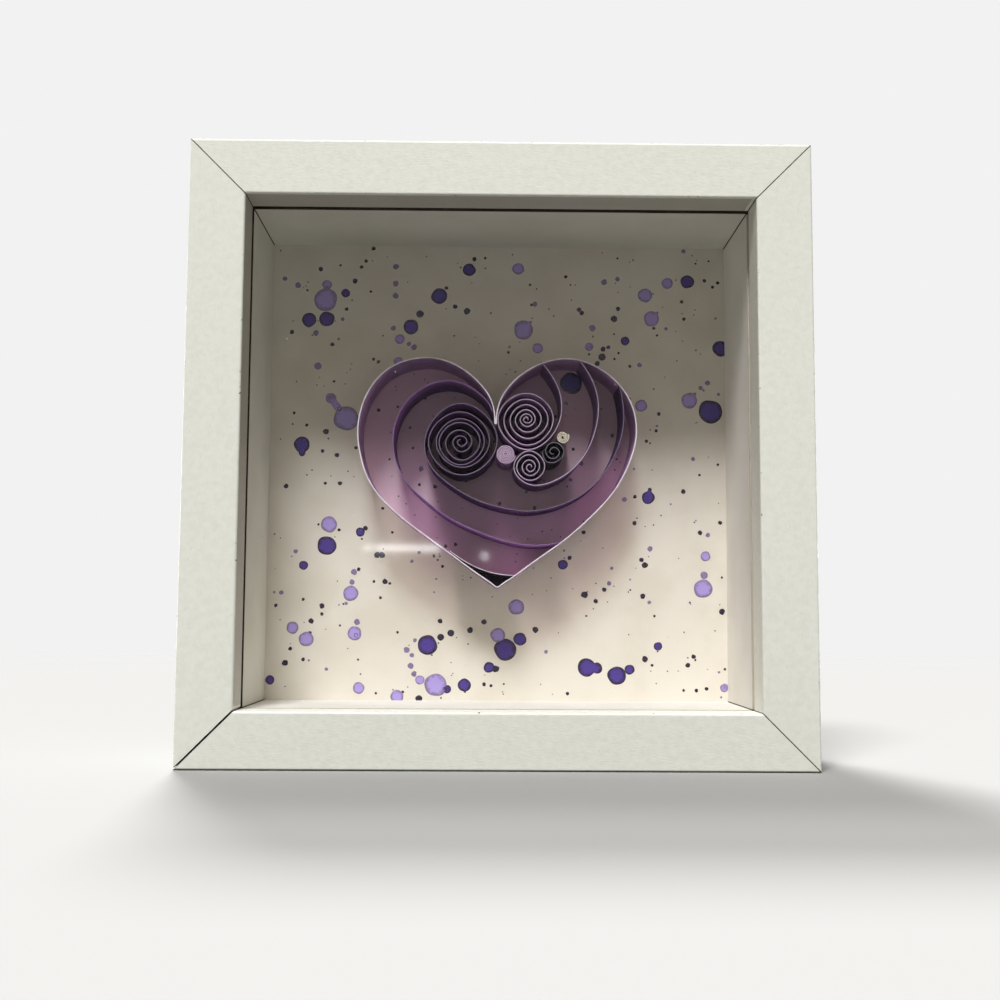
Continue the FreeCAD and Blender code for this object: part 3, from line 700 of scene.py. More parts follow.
class MeshMaker:
    """Collects vertices and faces, and makes one closed piece of them that rides on the root."""

    def __init__(self, name: str) -> None:
        """Starts an empty piece."""
        self.name = name
        self.places: list[Place] = []
        self.faces: list[Face] = []
        self.kinds: list[int] = []
        self.rims: list[float] = []

    def add(self, places: list[Place], faces: list[Face], kinds: list[int] | None = None) -> None:
        """Adds to the piece.

        Args:
            places: the new places.
            faces: the new faces, which count from the first of these places.
            kinds: the number of each face's material, if it isn't the first.
        """
        start = len(self.places)
        self.places += places
        self.faces += [tuple(start + corner for corner in face) for face in faces]
        self.kinds += kinds or [0] * len(faces)

    def plate(self, corners: list[Point], front: float, back: float) -> None:
        """Adds a flat plate.

        Args:
            corners: its outline, across and up.
            front: where its front face lies.
            back: where its back face lies.
        """
        count = len(corners)
        places = [(x, y, z) for y in (front, back) for x, z in corners]
        faces = [tuple(range(count)), tuple(range(2 * count - 1, count - 1, -1))]
        self.add(places, faces + between_rings(0, count, count))

    def piece(
        self, materials: list[bpy.types.Material], smooth_under: float = 50.0
    ) -> bpy.types.Object:
        """Makes the object.

        Args:
            materials: one for each kind of face.
            smooth_under: edges that turn less than this many degrees are shaded smooth.

        Returns:
            The piece, on the root body.
        """
        mesh = bpy.data.meshes.new(self.name)
        mesh.from_pydata(self.places, [], self.faces)
        mesh.polygons.foreach_set("material_index", self.kinds)
        if self.rims:
            attribute = mesh.attributes.new("rim", "FLOAT", "POINT")
            attribute.data.foreach_set("value", self.rims)
        shape = bmesh.new()
        shape.from_mesh(mesh)
        bmesh.ops.recalc_face_normals(shape, faces=shape.faces)
        shape.to_mesh(mesh)
        shape.free()
        mesh.shade_smooth()
        mesh.set_sharp_from_angle(angle=math.radians(smooth_under))
        for material in materials:
            mesh.materials.append(material)
        made = put(self.name, mesh)
        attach(made, "root")
        LOG.info("%s: %d faces", self.name, len(self.faces))
        return made


def front_loops(node: str) -> list[np.ndarray]:
    """The outlines of a CAD node's foremost faces.

    Args:
        node: the CAD node's name.

    Returns:
        One array of (across, up) for each closed outline, in metres.
    """
    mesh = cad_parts[node].data
    mesh.calc_loop_triangles()
    places = np.array([vertex.co for vertex in mesh.vertices])
    front = places[:, 1] < places[:, 1].min() + GRID
    keys = [tuple(key) for key in np.round(places[:, [0, 2]] / GRID).astype(int).tolist()]
    edges = set()
    for triangle in mesh.loop_triangles:
        corners = list(triangle.vertices)
        if not all(front[corner] for corner in corners):
            continue
        for start, end in zip(corners, corners[1:] + corners[:1]):
            edge = (keys[start], keys[end])
            if edge[::-1] in edges:
                edges.remove(edge[::-1])
            else:
                edges.add(edge)
    following = dict(sorted(edges))
    loops = []
    while following:
        start = next(iter(following))
        loop = [start]
        here = following.pop(start)
        while here != start and here in following:
            loop.append(here)
            here = following.pop(here)
        loops.append(np.array(loop) * GRID)
    return loops


def turns(loop: np.ndarray) -> np.ndarray:
    """How sharply a closed outline turns.

    Args:
        loop: its points.

    Returns:
        The turn at each point, in radians.
    """
    ahead = np.roll(loop, -1, 0) - loop
    behind = loop - np.roll(loop, 1, 0)
    cross = behind[:, 0] * ahead[:, 1] - behind[:, 1] * ahead[:, 0]
    return np.abs(np.arctan2(cross, (behind * ahead).sum(1)))


def two_sides(loop: np.ndarray) -> tuple[np.ndarray, np.ndarray]:
    """Splits a strip's outline at its two short ends.

    Args:
        loop: the closed outline of the strip's edge.

    Returns:
        The two long sides, both from the same end to the other.
    """
    count = len(loop)
    turn = turns(loop)
    sharpness = turn + np.roll(turn, -1)
    first = int(sharpness.argmax())
    left_out = [(first + step) % count for step in (-1, 0, 1)]
    sharpness[left_out] = 0
    second = int(sharpness.argmax())
    turned = np.roll(loop, -(first + 1), 0)
    length = (second - first) % count
    return turned[:length], turned[length:][::-1]


def lengths_along(line: np.ndarray) -> np.ndarray:
    """How far along a line each of its points lies."""
    steps = np.linalg.norm(np.diff(line, axis=0), axis=1)
    return np.concatenate([[0], np.cumsum(steps)])


def middle_line(one: np.ndarray, other: np.ndarray) -> np.ndarray:
    """The line half-way between a strip's two sides.

    Args:
        one: a side.
        other: the side across the paper from it.

    Returns:
        One point for each point of the first side.
    """
    spacing = 0.03 * MM
    ahead = 0.6 * MM
    behind = 0.3 * MM
    closest = 0.04 * MM
    places = lengths_along(other)
    at = np.arange(0, places[-1], spacing)
    dense = np.stack([np.interp(at, places, other[:, axis]) for axis in (0, 1)], 1)
    made = [(one[0] + other[0]) / 2]
    here = 0
    for previous, point in zip(one, one[1:]):
        reach = 3 * float(np.linalg.norm(point - previous)) + ahead
        low = max(0, here - int(behind / spacing))
        window = dense[low : here + int(reach / spacing)]
        here = low + int(((window - point) ** 2).sum(1).argmin())
        made.append((point + dense[here]) / 2)
    made[-1] = (one[-1] + other[-1]) / 2
    kept = [made[0]]
    for point in made[1:]:
        if np.linalg.norm(point - kept[-1]) > closest:
            kept.append(point)
    return np.array(kept)


def evenly(line: np.ndarray, step: float) -> tuple[np.ndarray, np.ndarray]:
    """A smooth curve through a line's points.

    Args:
        line: the points.
        step: the distance between the new points.

    Returns:
        The new points, and the unit vectors across the curve at each.
    """
    at = lengths_along(line)
    gaps = np.diff(at)
    slopes = np.diff(line, axis=0) / gaps[:, None]
    inner = (slopes[:-1] * gaps[1:, None] + slopes[1:] * gaps[:-1, None]) / (gaps[1:] + gaps[:-1])[:, None]
    tangents = np.concatenate([slopes[:1], inner, slopes[-1:]])
    places = np.linspace(0, at[-1], max(3, int(at[-1] / step) + 1))
    index = np.clip(np.searchsorted(at, places, side="right") - 1, 0, len(gaps) - 1)
    gap = gaps[index][:, None]
    share = ((places - at[index]) / gaps[index])[:, None]
    start = (1 + 2 * share) * (1 - share) ** 2 * line[index]
    end = share**2 * (3 - 2 * share) * line[index + 1]
    leaving = share * (1 - share) ** 2 * gap * tangents[index]
    coming = share**2 * (share - 1) * gap * tangents[index + 1]
    curve = start + end + leaving + coming
    along = np.gradient(curve, axis=0)
    along /= np.linalg.norm(along, axis=1)[:, None]
    return curve, np.stack([-along[:, 1], along[:, 0]], 1)


def joined(one: np.ndarray, other: np.ndarray) -> np.ndarray:
    """Two lines as one closed outline.

    Args:
        one: the first line.
        other: the second, which is turned round where that brings the ends together.

    Returns:
        The outline's points.
    """
    if np.linalg.norm(one[-1] - other[-1]) < np.linalg.norm(one[-1] - other[0]):
        other = other[::-1]
    return np.concatenate([one, other])


@dataclass
class PaperStrip:
    """One strip of paper standing on the card, drawn along the middle of its CAD node."""

    node: str
    paper: QuillingPaper
    slot: str
    step: float = 0.35 * MM
    thickness: float = 0.35 * MM
    rounding: float = 0.08 * MM
    sway: float = 0.05 * MM
    uneven: float = 0.12 * MM
    edge_from: int = 4
    cored: bool = False
    lean_wave: float = 31 * MM
    edge_wave: float = 17 * MM
    wave_height: float = 1.84
    core_pitch: float = 0.4 * MM
    core_turn: float = 0.5
    core_end: float = 0.22 * MM

    def wave(self, at: np.ndarray, longest: float, dice: random.Random) -> np.ndarray:
        """A lazy wave along the strip.

        Args:
            at: how far along the strip each point lies.
            longest: the length of its longest wave.
            dice: where its phases come from.

        Returns:
            The wave at each point, from -1 to 1.
        """
        total = np.zeros(len(at))
        for part in range(1, 4):
            total += np.sin(2 * math.pi * (at * part / longest + dice.random())) / part
        return total / self.wave_height

    def line(self) -> np.ndarray:
        """The middle of the strip's front edge, from end to end."""
        made = middle_line(*two_sides(max(front_loops(self.node), key=len)))
        return self.with_core(made) if self.cored else made

    def with_core(self, line: np.ndarray) -> np.ndarray:
        """Winds a tight coil further in, until its middle is closed.

        Args:
            line: the coil's middle line.

        Returns:
            The longer line.
        """
        centre = (line.min(0) + line.max(0)) / 2
        if np.linalg.norm(line[0] - centre) > np.linalg.norm(line[-1] - centre):
            line = line[::-1]
        away = line[0] - centre
        start = math.atan2(away[1], away[0])
        ahead = line[1] - line[0]
        turning = -1 if away[0] * ahead[1] - away[1] * ahead[0] > 0 else 1
        radius = float(np.linalg.norm(away))
        wound = []
        angle = 0.0
        while radius > self.core_end:
            angle += self.core_turn * turning
            radius -= self.core_pitch * self.core_turn / (2 * math.pi)
            wound.append(centre + radius * np.array([math.cos(start + angle), math.sin(start + angle)]))
        return np.concatenate([np.array(wound[::-1]).reshape(-1, 2), line])

    def section(self, depth: float) -> list[Point]:
        """The outline of the paper, cut across.

        Args:
            depth: how deep the strip is.

        Returns:
            Its points: the distance from the middle line, and the share of the depth from the front edge.
        """
        half = self.thickness / 2
        corner = self.rounding / depth
        side = [(half, 1.0), (half, 0.6), (half, 0.25), (half, corner), (half - self.rounding, corner * 0.25)]
        return [(-offset, share) for offset, share in side] + [(0.0, 0.0)] + side[::-1]

    def build(self) -> bpy.types.Object:
        """Makes the strip, which stands for its CAD node.

        Returns:
            The piece.
        """
        dice = random.Random(self.node)
        lowest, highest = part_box(self.node)
        curve, across = evenly(self.line(), self.step)
        at = lengths_along(curve)
        depth = highest.y - lowest.y
        lean = self.wave(at, self.lean_wave, dice) * self.sway
        drop = (self.wave(at, self.edge_wave, dice) * 0.5 + 0.5) * self.uneven
        section = self.section(depth)
        places = []
        for index, (middle, side) in enumerate(zip(curve, across)):
            for offset, share in section:
                shift = offset + lean[index] * (1 - share)
                y = lowest.y + drop[index] * (1 - share) + depth * share
                places.append((middle[0] + side[0] * shift, y, middle[1] + side[1] * shift))
        count = len(section)
        cut = range(self.edge_from, count - 1 - self.edge_from)
        row_kinds = [(StripSide.CUT if column in cut else StripSide.FACE).value for column in range(count)]
        faces = []
        kinds = []
        for row in range(len(curve) - 1):
            faces += between_rings(row * count, (row + 1) * count, count)
            kinds += row_kinds
        last = (len(curve) - 1) * count
        faces += [tuple(range(count)), tuple(range(last, last + count))]
        kinds += [StripSide.CUT.value] * 2
        maker = MeshMaker(f"{self.node}_paper")
        maker.add(places, faces, kinds)
        made = maker.piece([self.paper.material(side) for side in StripSide])
        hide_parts(self.node)
        return made


@dataclass
class Drop:
    """A dry drop of paint: its middle across and up from the frame's middle, and its radius, in metres."""

    across: float
    up: float
    radius: float


def drops(*rows: Place) -> list[Drop]:
    """Drops from rows of millimetres."""
    return [Drop(across * MM, up * MM, radius * MM) for across, up, radius in rows]


def around(count: int) -> np.ndarray:
    """That many directions all round, in radians."""
    return np.linspace(-math.pi, math.pi, count + 1)[:-1]


@dataclass
class PaintSplatter:
    """The drops of one colour: those of the CAD node, with their necks, and the finer ones beside them."""

    node: str
    slot: str
    paint: DriedPaint
    necks: list[Drop]
    fine: list[Drop]
    mist: int
    seed: int
    card_face: float
    field: float = 61 * MM
    thickness: float = 0.09 * MM
    cover: float = 0.06 * MM
    smallest_mist: float = 0.16 * MM
    mist_spread: float = 0.5 * MM
    small_drop: float = 1.7 * MM
    darkening: float = 0.8 * MM
    neck_reach: float = 1.5 * MM

    def outline(self, loop: np.ndarray, directions: np.ndarray) -> tuple[np.ndarray, np.ndarray]:
        """How far a CAD drop reaches in each direction.

        Args:
            loop: its closed outline.
            directions: angles in radians.

        Returns:
            Its middle, and the reaches.
        """
        middle = (loop.min(0) + loop.max(0)) / 2
        closed = np.concatenate([loop, loop[:1]]) - middle
        at = lengths_along(closed)
        dense_at = np.linspace(0, at[-1], 40 * len(loop))
        dense = np.stack([np.interp(dense_at, at, closed[:, axis]) for axis in (0, 1)], 1)
        angles = np.arctan2(dense[:, 1], dense[:, 0])
        reach = np.linalg.norm(dense, axis=1)
        near = np.abs((angles[None, :] - directions[:, None] + math.pi) % (2 * math.pi) - math.pi)
        return middle, np.where(near < 0.12, reach[None, :], 0).max(1)

    def with_necks(self, middle: np.ndarray, reach: np.ndarray, directions: np.ndarray) -> np.ndarray:
        """Draws a drop out to the small lobes that hang on it.

        Args:
            middle: the drop's middle.
            reach: how far it reaches in each direction.
            directions: these directions.

        Returns:
            The new reaches.
        """
        size = float(reach.mean())
        for neck in self.necks:
            away = np.array([neck.across, neck.up + MIDDLE]) - middle
            distance = float(np.linalg.norm(away))
            if distance > size + 3.2 * neck.radius + self.neck_reach or distance < 0.2 * size:
                continue
            turn = (directions - math.atan2(away[1], away[0]) + math.pi) % (2 * math.pi) - math.pi
            inside = np.clip(neck.radius**2 - (distance * np.sin(turn)) ** 2, 0, None)
            lobe = np.where(np.abs(turn) < math.pi / 2, distance * np.cos(turn) + np.sqrt(inside), 0)
            lobe = np.where(inside > 0, lobe, 0)
            reach = np.maximum(reach, lobe)
        return reach

    def blob(self, maker: MeshMaker, middle: np.ndarray, reach: np.ndarray, directions: np.ndarray) -> None:
        """Adds one domed drop to the piece, lowest in its middle and proud near its rim.

        Args:
            maker: the piece.
            middle: the drop's middle.
            reach: how far it reaches in each direction.
            directions: these directions.
        """
        size = float(reach.mean())
        height = min(self.thickness, 0.13 * size)
        rings = [(0.4, 0.62), (0.7, 0.74), (0.88, 1.0), (0.97, 0.62), (1.0, 0.0), (0.99, -0.3)]
        places = [(middle[0], self.card_face - height * 0.6, middle[1])]
        darkness = float(np.clip((self.small_drop - size) / self.darkening, 0, 1))
        rims = [darkness]
        for share, lift in rings:
            for angle, far in zip(directions, reach.tolist()):
                x = middle[0] + math.cos(angle) * far * share
                z = middle[1] + math.sin(angle) * far * share
                places.append((x, self.card_face - height * lift, z))
                rims.append(max(share, darkness))
        places.append((middle[0], self.card_face + height * 0.3, middle[1]))
        rims.append(1.0)
        count = len(directions)
        last = 1 + (len(rings) - 1) * count
        faces = [(0, 1 + one, 1 + other) for one, other in neighbours(count)]
        for start in range(1, last, count):
            faces += between_rings(start, start + count, count)
        faces += [(last + one, len(places) - 1, last + other) for one, other in neighbours(count)]
        maker.add(places, faces)
        maker.rims += rims

    def wobble(self, directions: np.ndarray, amount: float, dice: random.Random) -> np.ndarray:
        """Makes a round drop a little uneven.

        Args:
            directions: angles in radians.
            amount: how uneven it gets.
            dice: where its phases come from.

        Returns:
            A factor around one for each direction.
        """
        made = np.ones(len(directions))
        for waves in (2, 3, 4, 5):
            phase = dice.uniform(0, 2 * math.pi)
            made += amount / waves * math.sqrt(waves) * np.cos(waves * directions + phase)
        return made

    def build(self) -> bpy.types.Object:
        """Makes all drops of this colour, which stand for the CAD node's drops.

        Returns:
            The piece.
        """
        dice = random.Random(self.seed)
        maker = MeshMaker(f"{self.node}_dry")
        directions = around(48)
        for loop in front_loops(self.node):
            middle, reach = self.outline(loop, directions)
            uneven = self.wobble(directions, 0.03, dice)
            grown = reach * uneven / uneven.min() + self.cover
            self.blob(maker, middle, self.with_necks(middle, grown, directions), directions)
        fewer = around(24)
        for drop in self.fine:
            reach = drop.radius * self.wobble(fewer, 0.07, dice)
            self.blob(maker, np.array([drop.across, drop.up + MIDDLE]), reach, fewer)
        fewest = around(12)
        for _ in range(self.mist):
            radius = self.smallest_mist + self.mist_spread * dice.random() ** 2.6
            middle = np.array([dice.uniform(-1, 1), dice.uniform(-1, 1)]) * self.field + (0, MIDDLE)
            self.blob(maker, middle, radius * self.wobble(fewest, 0.08, dice), fewest)
        made = maker.piece([self.paint.material()], 70)
        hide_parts(self.node)
        return made


DARK_FINE = drops(
    (-39.3, 51.7, 0.7), (-37.6, 55.6, 0.5), (-36.4, 57.3, 0.5), (-56.2, 37.4, 0.6), (-46.5, 10.2, 0.8),
    (-21.5, 42.7, 0.9), (-8.7, 43.6, 0.9), (-6.8, 58.1, 0.6), (49.9, 46.7, 0.5), (50.5, 41.9, 0.5),
    (31.4, 41.8, 0.8), (32.5, 44.6, 0.6), (28.4, 33.4, 0.7), (28.1, 31.2, 0.9), (26.8, 29.4, 0.7),
    (-47.3, 4.9, 0.5), (-43.4, 3.8, 0.6), (-32.2, -23.0, 0.8), (-30.9, -23.0, 0.8), (-30.0, -30.1, 0.7),
    (-46.7, -36.7, 0.7), (-49.5, -40.7, 0.7), (-56.2, -51.8, 0.8), (-20.6, -61.0, 0.9), (-15.0, -44.8, 0.8),
    (-12.3, -43.7, 0.8), (-7.2, -42.9, 0.8), (-3.5, -40.7, 0.7), (-0.3, -53.1, 0.9), (10.2, -42.7, 0.8),
    (39.4, -50.3, 0.8), (52.4, -49.6, 0.6), (60.1, -37.6, 0.8), (36.9, -6.9, 0.5), (23.3, -33.3, 0.9),
    (26.3, -35.0, 0.6), (38.9, -33.6, 0.7), (39.5, -25.3, 0.8), (38.6, -23.9, 0.6), (54.4, -16.5, 0.6),
)
LILAC_FINE = drops(
    (-54.8, 50.4, 0.8), (-49.7, 37.2, 0.8), (-28.7, 38.7, 0.7), (-24.4, 34.4, 0.6), (-23.0, 33.5, 0.8),
    (-28.2, 55.8, 0.8), (-28.2, 51.1, 0.8), (-28.2, 47.7, 0.8), (9.8, 45.7, 0.7), (28.7, 52.0, 0.8),
    (25.5, 39.2, 0.9), (54.9, 22.9, 0.6), (56.8, 24.3, 0.7), (-38.8, -30.3, 0.7), (-38.3, -27.6, 0.8),
    (-37.3, -40.9, 0.8), (-24.0, -48.2, 0.8), (-22.6, -49.6, 0.6), (-22.9, -52.4, 0.8), (-22.0, -54.6, 0.7),
    (40.9, -20.9, 0.7), (56.5, -17.1, 0.6),
)
DARK_NECKS = drops((-52.8, 4.3, 0.9), (40.9, -5.0, 0.6))
LILAC_NECKS = drops(
    (-45.3, 19.3, 1.3), (-46.9, 49.6, 0.8), (8.6, 40.6, 0.5), (53.3, 21.2, 0.5), (43.2, 43.6, 0.4),
)


@dataclass
class QuilledHeart:
    """The strips and coils of the heart, and the papers they are cut from."""

    lilac: QuillingPaper = QuillingPaper(
        "lilac_paper", Tone(176, 148, 182), Tone(240, 230, 241),
        Tone(220, 184, 220), 0.3, Tone(220, 213, 211),
    )
    # the tip strip's lilac paper with its face made near black: painted shade in the tip
    tip: QuillingPaper = QuillingPaper("tip_paper", Tone(46, 14, 42), Tone(226, 212, 228))
    violet: QuillingPaper = QuillingPaper(
        "violet_paper", Tone(116, 80, 136), Tone(148, 120, 164),
        Tone(186, 132, 192), 0.25, Tone(208, 196, 206),
    )
    plum: QuillingPaper = QuillingPaper(
        "plum_paper", Tone(66, 35, 83), Tone(134, 126, 144),
        Tone(176, 112, 192), 0.1, Tone(210, 190, 206),
    )
    # a near-black copy of the plum paper for the dark coil: painted shade
    ink: QuillingPaper = QuillingPaper("ink_paper", Tone(32, 24, 42), Tone(128, 122, 138))
    heather: QuillingPaper = QuillingPaper(
        "heather_paper", Tone(122, 90, 134), Tone(216, 206, 218),
        Tone(206, 168, 210), 0.22, Tone(198, 184, 196),
    )
    pink: QuillingPaper = QuillingPaper(
        "pink_paper", Tone(196, 164, 200), Tone(238, 218, 238), Tone(224, 180, 224), 0.3
    )
    cream: QuillingPaper = QuillingPaper(
        "cream_paper", Tone(214, 204, 186), Tone(252, 248, 238), Tone(236, 226, 206), 0.3
    )
    # the mauve sheet is painted purple bounce light on the card in the heart's shade
    bounce_sheet: CreamCard = CreamCard("mauve_ground", Tone(240, 209, 222), Tone(236, 205, 218))
    bounce_sheet_proud: float = 0.012 * MM
    tip_shade_proud: float = 0.03 * MM
    sheet_step: float = 0.6 * MM

    def strips(self) -> list[PaperStrip]:
        """Every strip with its paper.

        Returns:
            The strips, the two of the outline and the tip's first.
        """
        outline = {"thickness": 0.31 * MM, "edge_from": 3}
        fine = {"thickness": 0.26 * MM, "rounding": 0.06 * MM}
        open_coil = {"thickness": 0.28 * MM}
        tight = {"step": 0.14 * MM, "thickness": 0.3 * MM, "rounding": 0.1 * MM, "cored": True}
        tight |= {"sway": 0.02 * MM, "uneven": 0.3 * MM}
        return [
            PaperStrip("outline_left_strip", self.lilac, "lilac_paper", **outline),
            PaperStrip("outline_right_strip", self.lilac, "lilac_paper", **outline),
            PaperStrip("tip_strip", self.tip, "lilac_paper"),
            PaperStrip("left_swirl", self.violet, "violet_paper", **fine),
            PaperStrip("big_coil", self.plum, "plum_paper", **fine),
            PaperStrip("dark_coil", self.ink, "plum_paper", step=0.2 * MM, **fine),
            PaperStrip("right_coil", self.heather, "heather_paper", **open_coil),
            PaperStrip("small_coil", self.heather, "heather_paper", **open_coil),
            PaperStrip("pink_tight_coil", self.pink, "pink_paper", **tight),
            PaperStrip("white_tight_coil", self.cream, "cream_paper", **tight),
        ]

    def sheet(self, name: str, paper: bpy.types.Material, corners: np.ndarray, faces: Point) -> None:
        """Glues a thin sheet of paper on the card.

        Args:
            name: the piece's name.
            paper: its finish.
            corners: its outline, across and up in the frame of the CAD.
            faces: where its front and its back lie.
        """
        maker = MeshMaker(name)
        maker.plate(corners.tolist(), *faces)
        maker.piece([paper])

    def build(self, card_face: float) -> None:
        """Makes every strip, and the two sheets of painted bounce light and shade that lie on the card inside
        the outline.

        Args:
            card_face: where the card's front lies.
        """
        for strip in self.strips():
            strip.build()
        left, right, tip = (evenly(strip.line(), self.sheet_step)[0] for strip in self.strips()[:3])
        heart = joined(left, right)
        bounce_sheet_faces = (card_face - self.bounce_sheet_proud, card_face + self.bounce_sheet_proud)
        # a mauve sheet on the card inside the heart: painted purple bounce light in its shade
        self.sheet("heart_ground", self.bounce_sheet.material(), heart, bounce_sheet_faces)
        ends = sorted(int(((heart - end) ** 2).sum(1).argmin()) for end in (tip[0], tip[-1]))
        corner = heart[ends[0] : ends[1] + 1]
        if corner[:, 1].min() > heart[:, 1].min():
            corner = np.concatenate([heart[ends[1] :], heart[: ends[0] + 1]])
        tip_shade_faces = (card_face - self.tip_shade_proud, card_face + self.tip_shade_proud)
        # a near-black sheet on the card in the tip: painted shade
        self.sheet("tip_ground", self.tip.material(StripSide.FACE), joined(corner, tip), tip_shade_faces)


@dataclass
class BoxFrame:
    """The parts that keep their CAD shape: rails, inner box, glass, card, board and hardware."""

    wrap: FoilWrap = FoilWrap()
    board: BoxBoard = BoxBoard()
    # a paler copy of the board, with a pale cut edge, for the right wall: painted light
    lit_right_board: BoxBoard = BoxBoard(
        "pale_edged_board", Tone(246, 244, 238), Tone(240, 237, 229), Tone(206, 196, 182)
    )
    # a darker copy of the board for the bottom wall, as painted shade, with a pale cut edge
    shaded_low_board: BoxBoard = BoxBoard(
        "low_box_board", Tone(222, 220, 214), Tone(216, 213, 206), Tone(200, 190, 176)
    )
    card: CreamCard = CreamCard()
    glazing: Glazing = Glazing()
    back: Hardboard = Hardboard()
    steel: ZincSteel = ZincSteel()
    softened: float = 0.12 * MM

    def dress(self, names: list[str], material: bpy.types.Material, bevel: float = 0.0) -> None:
        """Gives CAD nodes a material.

        Args:
            names: the nodes.
            material: their finish.
            bevel: width of the bevel that softens their edges, if any.
        """
        for name in names:
            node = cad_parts[name]
            node.data.materials.clear()
            node.data.materials.append(material)
            if bevel:
                rounding = node.modifiers.new("softened", "BEVEL")
                rounding.width = bevel
                rounding.segments = 2
                rounding.limit_method = "ANGLE"
            LOG.info("%s: %s", name, material.name)

    def build(self) -> None:
        """Dresses every CAD node that shows."""
        opening = abs(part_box("rail_left")[1].x)
        wrap = self.wrap.material(opening, CAD_BOX[1][0])
        self.dress(["rail_bottom", "rail_left", "rail_top", "rail_right"], wrap, self.softened)
        glass_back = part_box("glass_pane")[1].y
        box_inner = abs(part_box("spacer_left")[1].x)
        for board, names in (
            (self.board, ["spacer_left", "spacer_top"]),
            (self.lit_right_board, ["spacer_right"]),
            (self.shaded_low_board, ["spacer_bottom"]),
        ):
            self.dress(names, board.material(glass_back, box_inner), self.softened)
        hardware = ["retaining_points", "corner_nails", "sawtooth_hanger", "hanger_pins"]
        for finish, names in (
            (self.glazing, ["glass_pane"]),
            (self.card, ["backing_card"]),
            (self.back, ["back_board"]),
            (self.steel, hardware),
        ):
            self.dress(names, finish.material())


@dataclass
class GlassDust:
    """A few pale flecks on the front of the glass."""

    glass_face: float
    dust: Dust = Dust()
    height: float = 0.02 * MM
    gap: float = 0.002 * MM
    corners: int = 9
    seed: int = 5

    def flecks(self) -> list[Drop]:
        """The flecks: across, up and radius.

        Returns:
            The flecks, in metres.
        """
        return drops(
            (-52.3, 28.2, 0.22), (-25.7, 20.2, 0.2), (-30.7, 7.5, 0.16), (-57.1, -20.5, 0.18),
            (-54.0, -28.2, 0.2), (28.2, 17.6, 0.14), (41.0, -44.0, 0.14), (12.0, 52.0, 0.12),
            (-8.0, -51.0, 0.12), (52.0, 6.0, 0.13),
        )

    def build(self) -> bpy.types.Object:
        """Makes the flecks as one piece.

        Returns:
            The piece.
        """
        dice = random.Random(self.seed)
        maker = MeshMaker("glass_dust")
        for fleck in self.flecks():
            outline = []
            for corner in range(self.corners):
                angle = 2 * math.pi * corner / self.corners
                far = fleck.radius * dice.uniform(0.55, 1.2)
                up = fleck.up + MIDDLE + far * math.sin(angle)
                outline.append((fleck.across + far * math.cos(angle), up))
            maker.plate(outline, self.glass_face - self.height, self.glass_face - self.gap)
        return maker.piece([self.dust.material()])


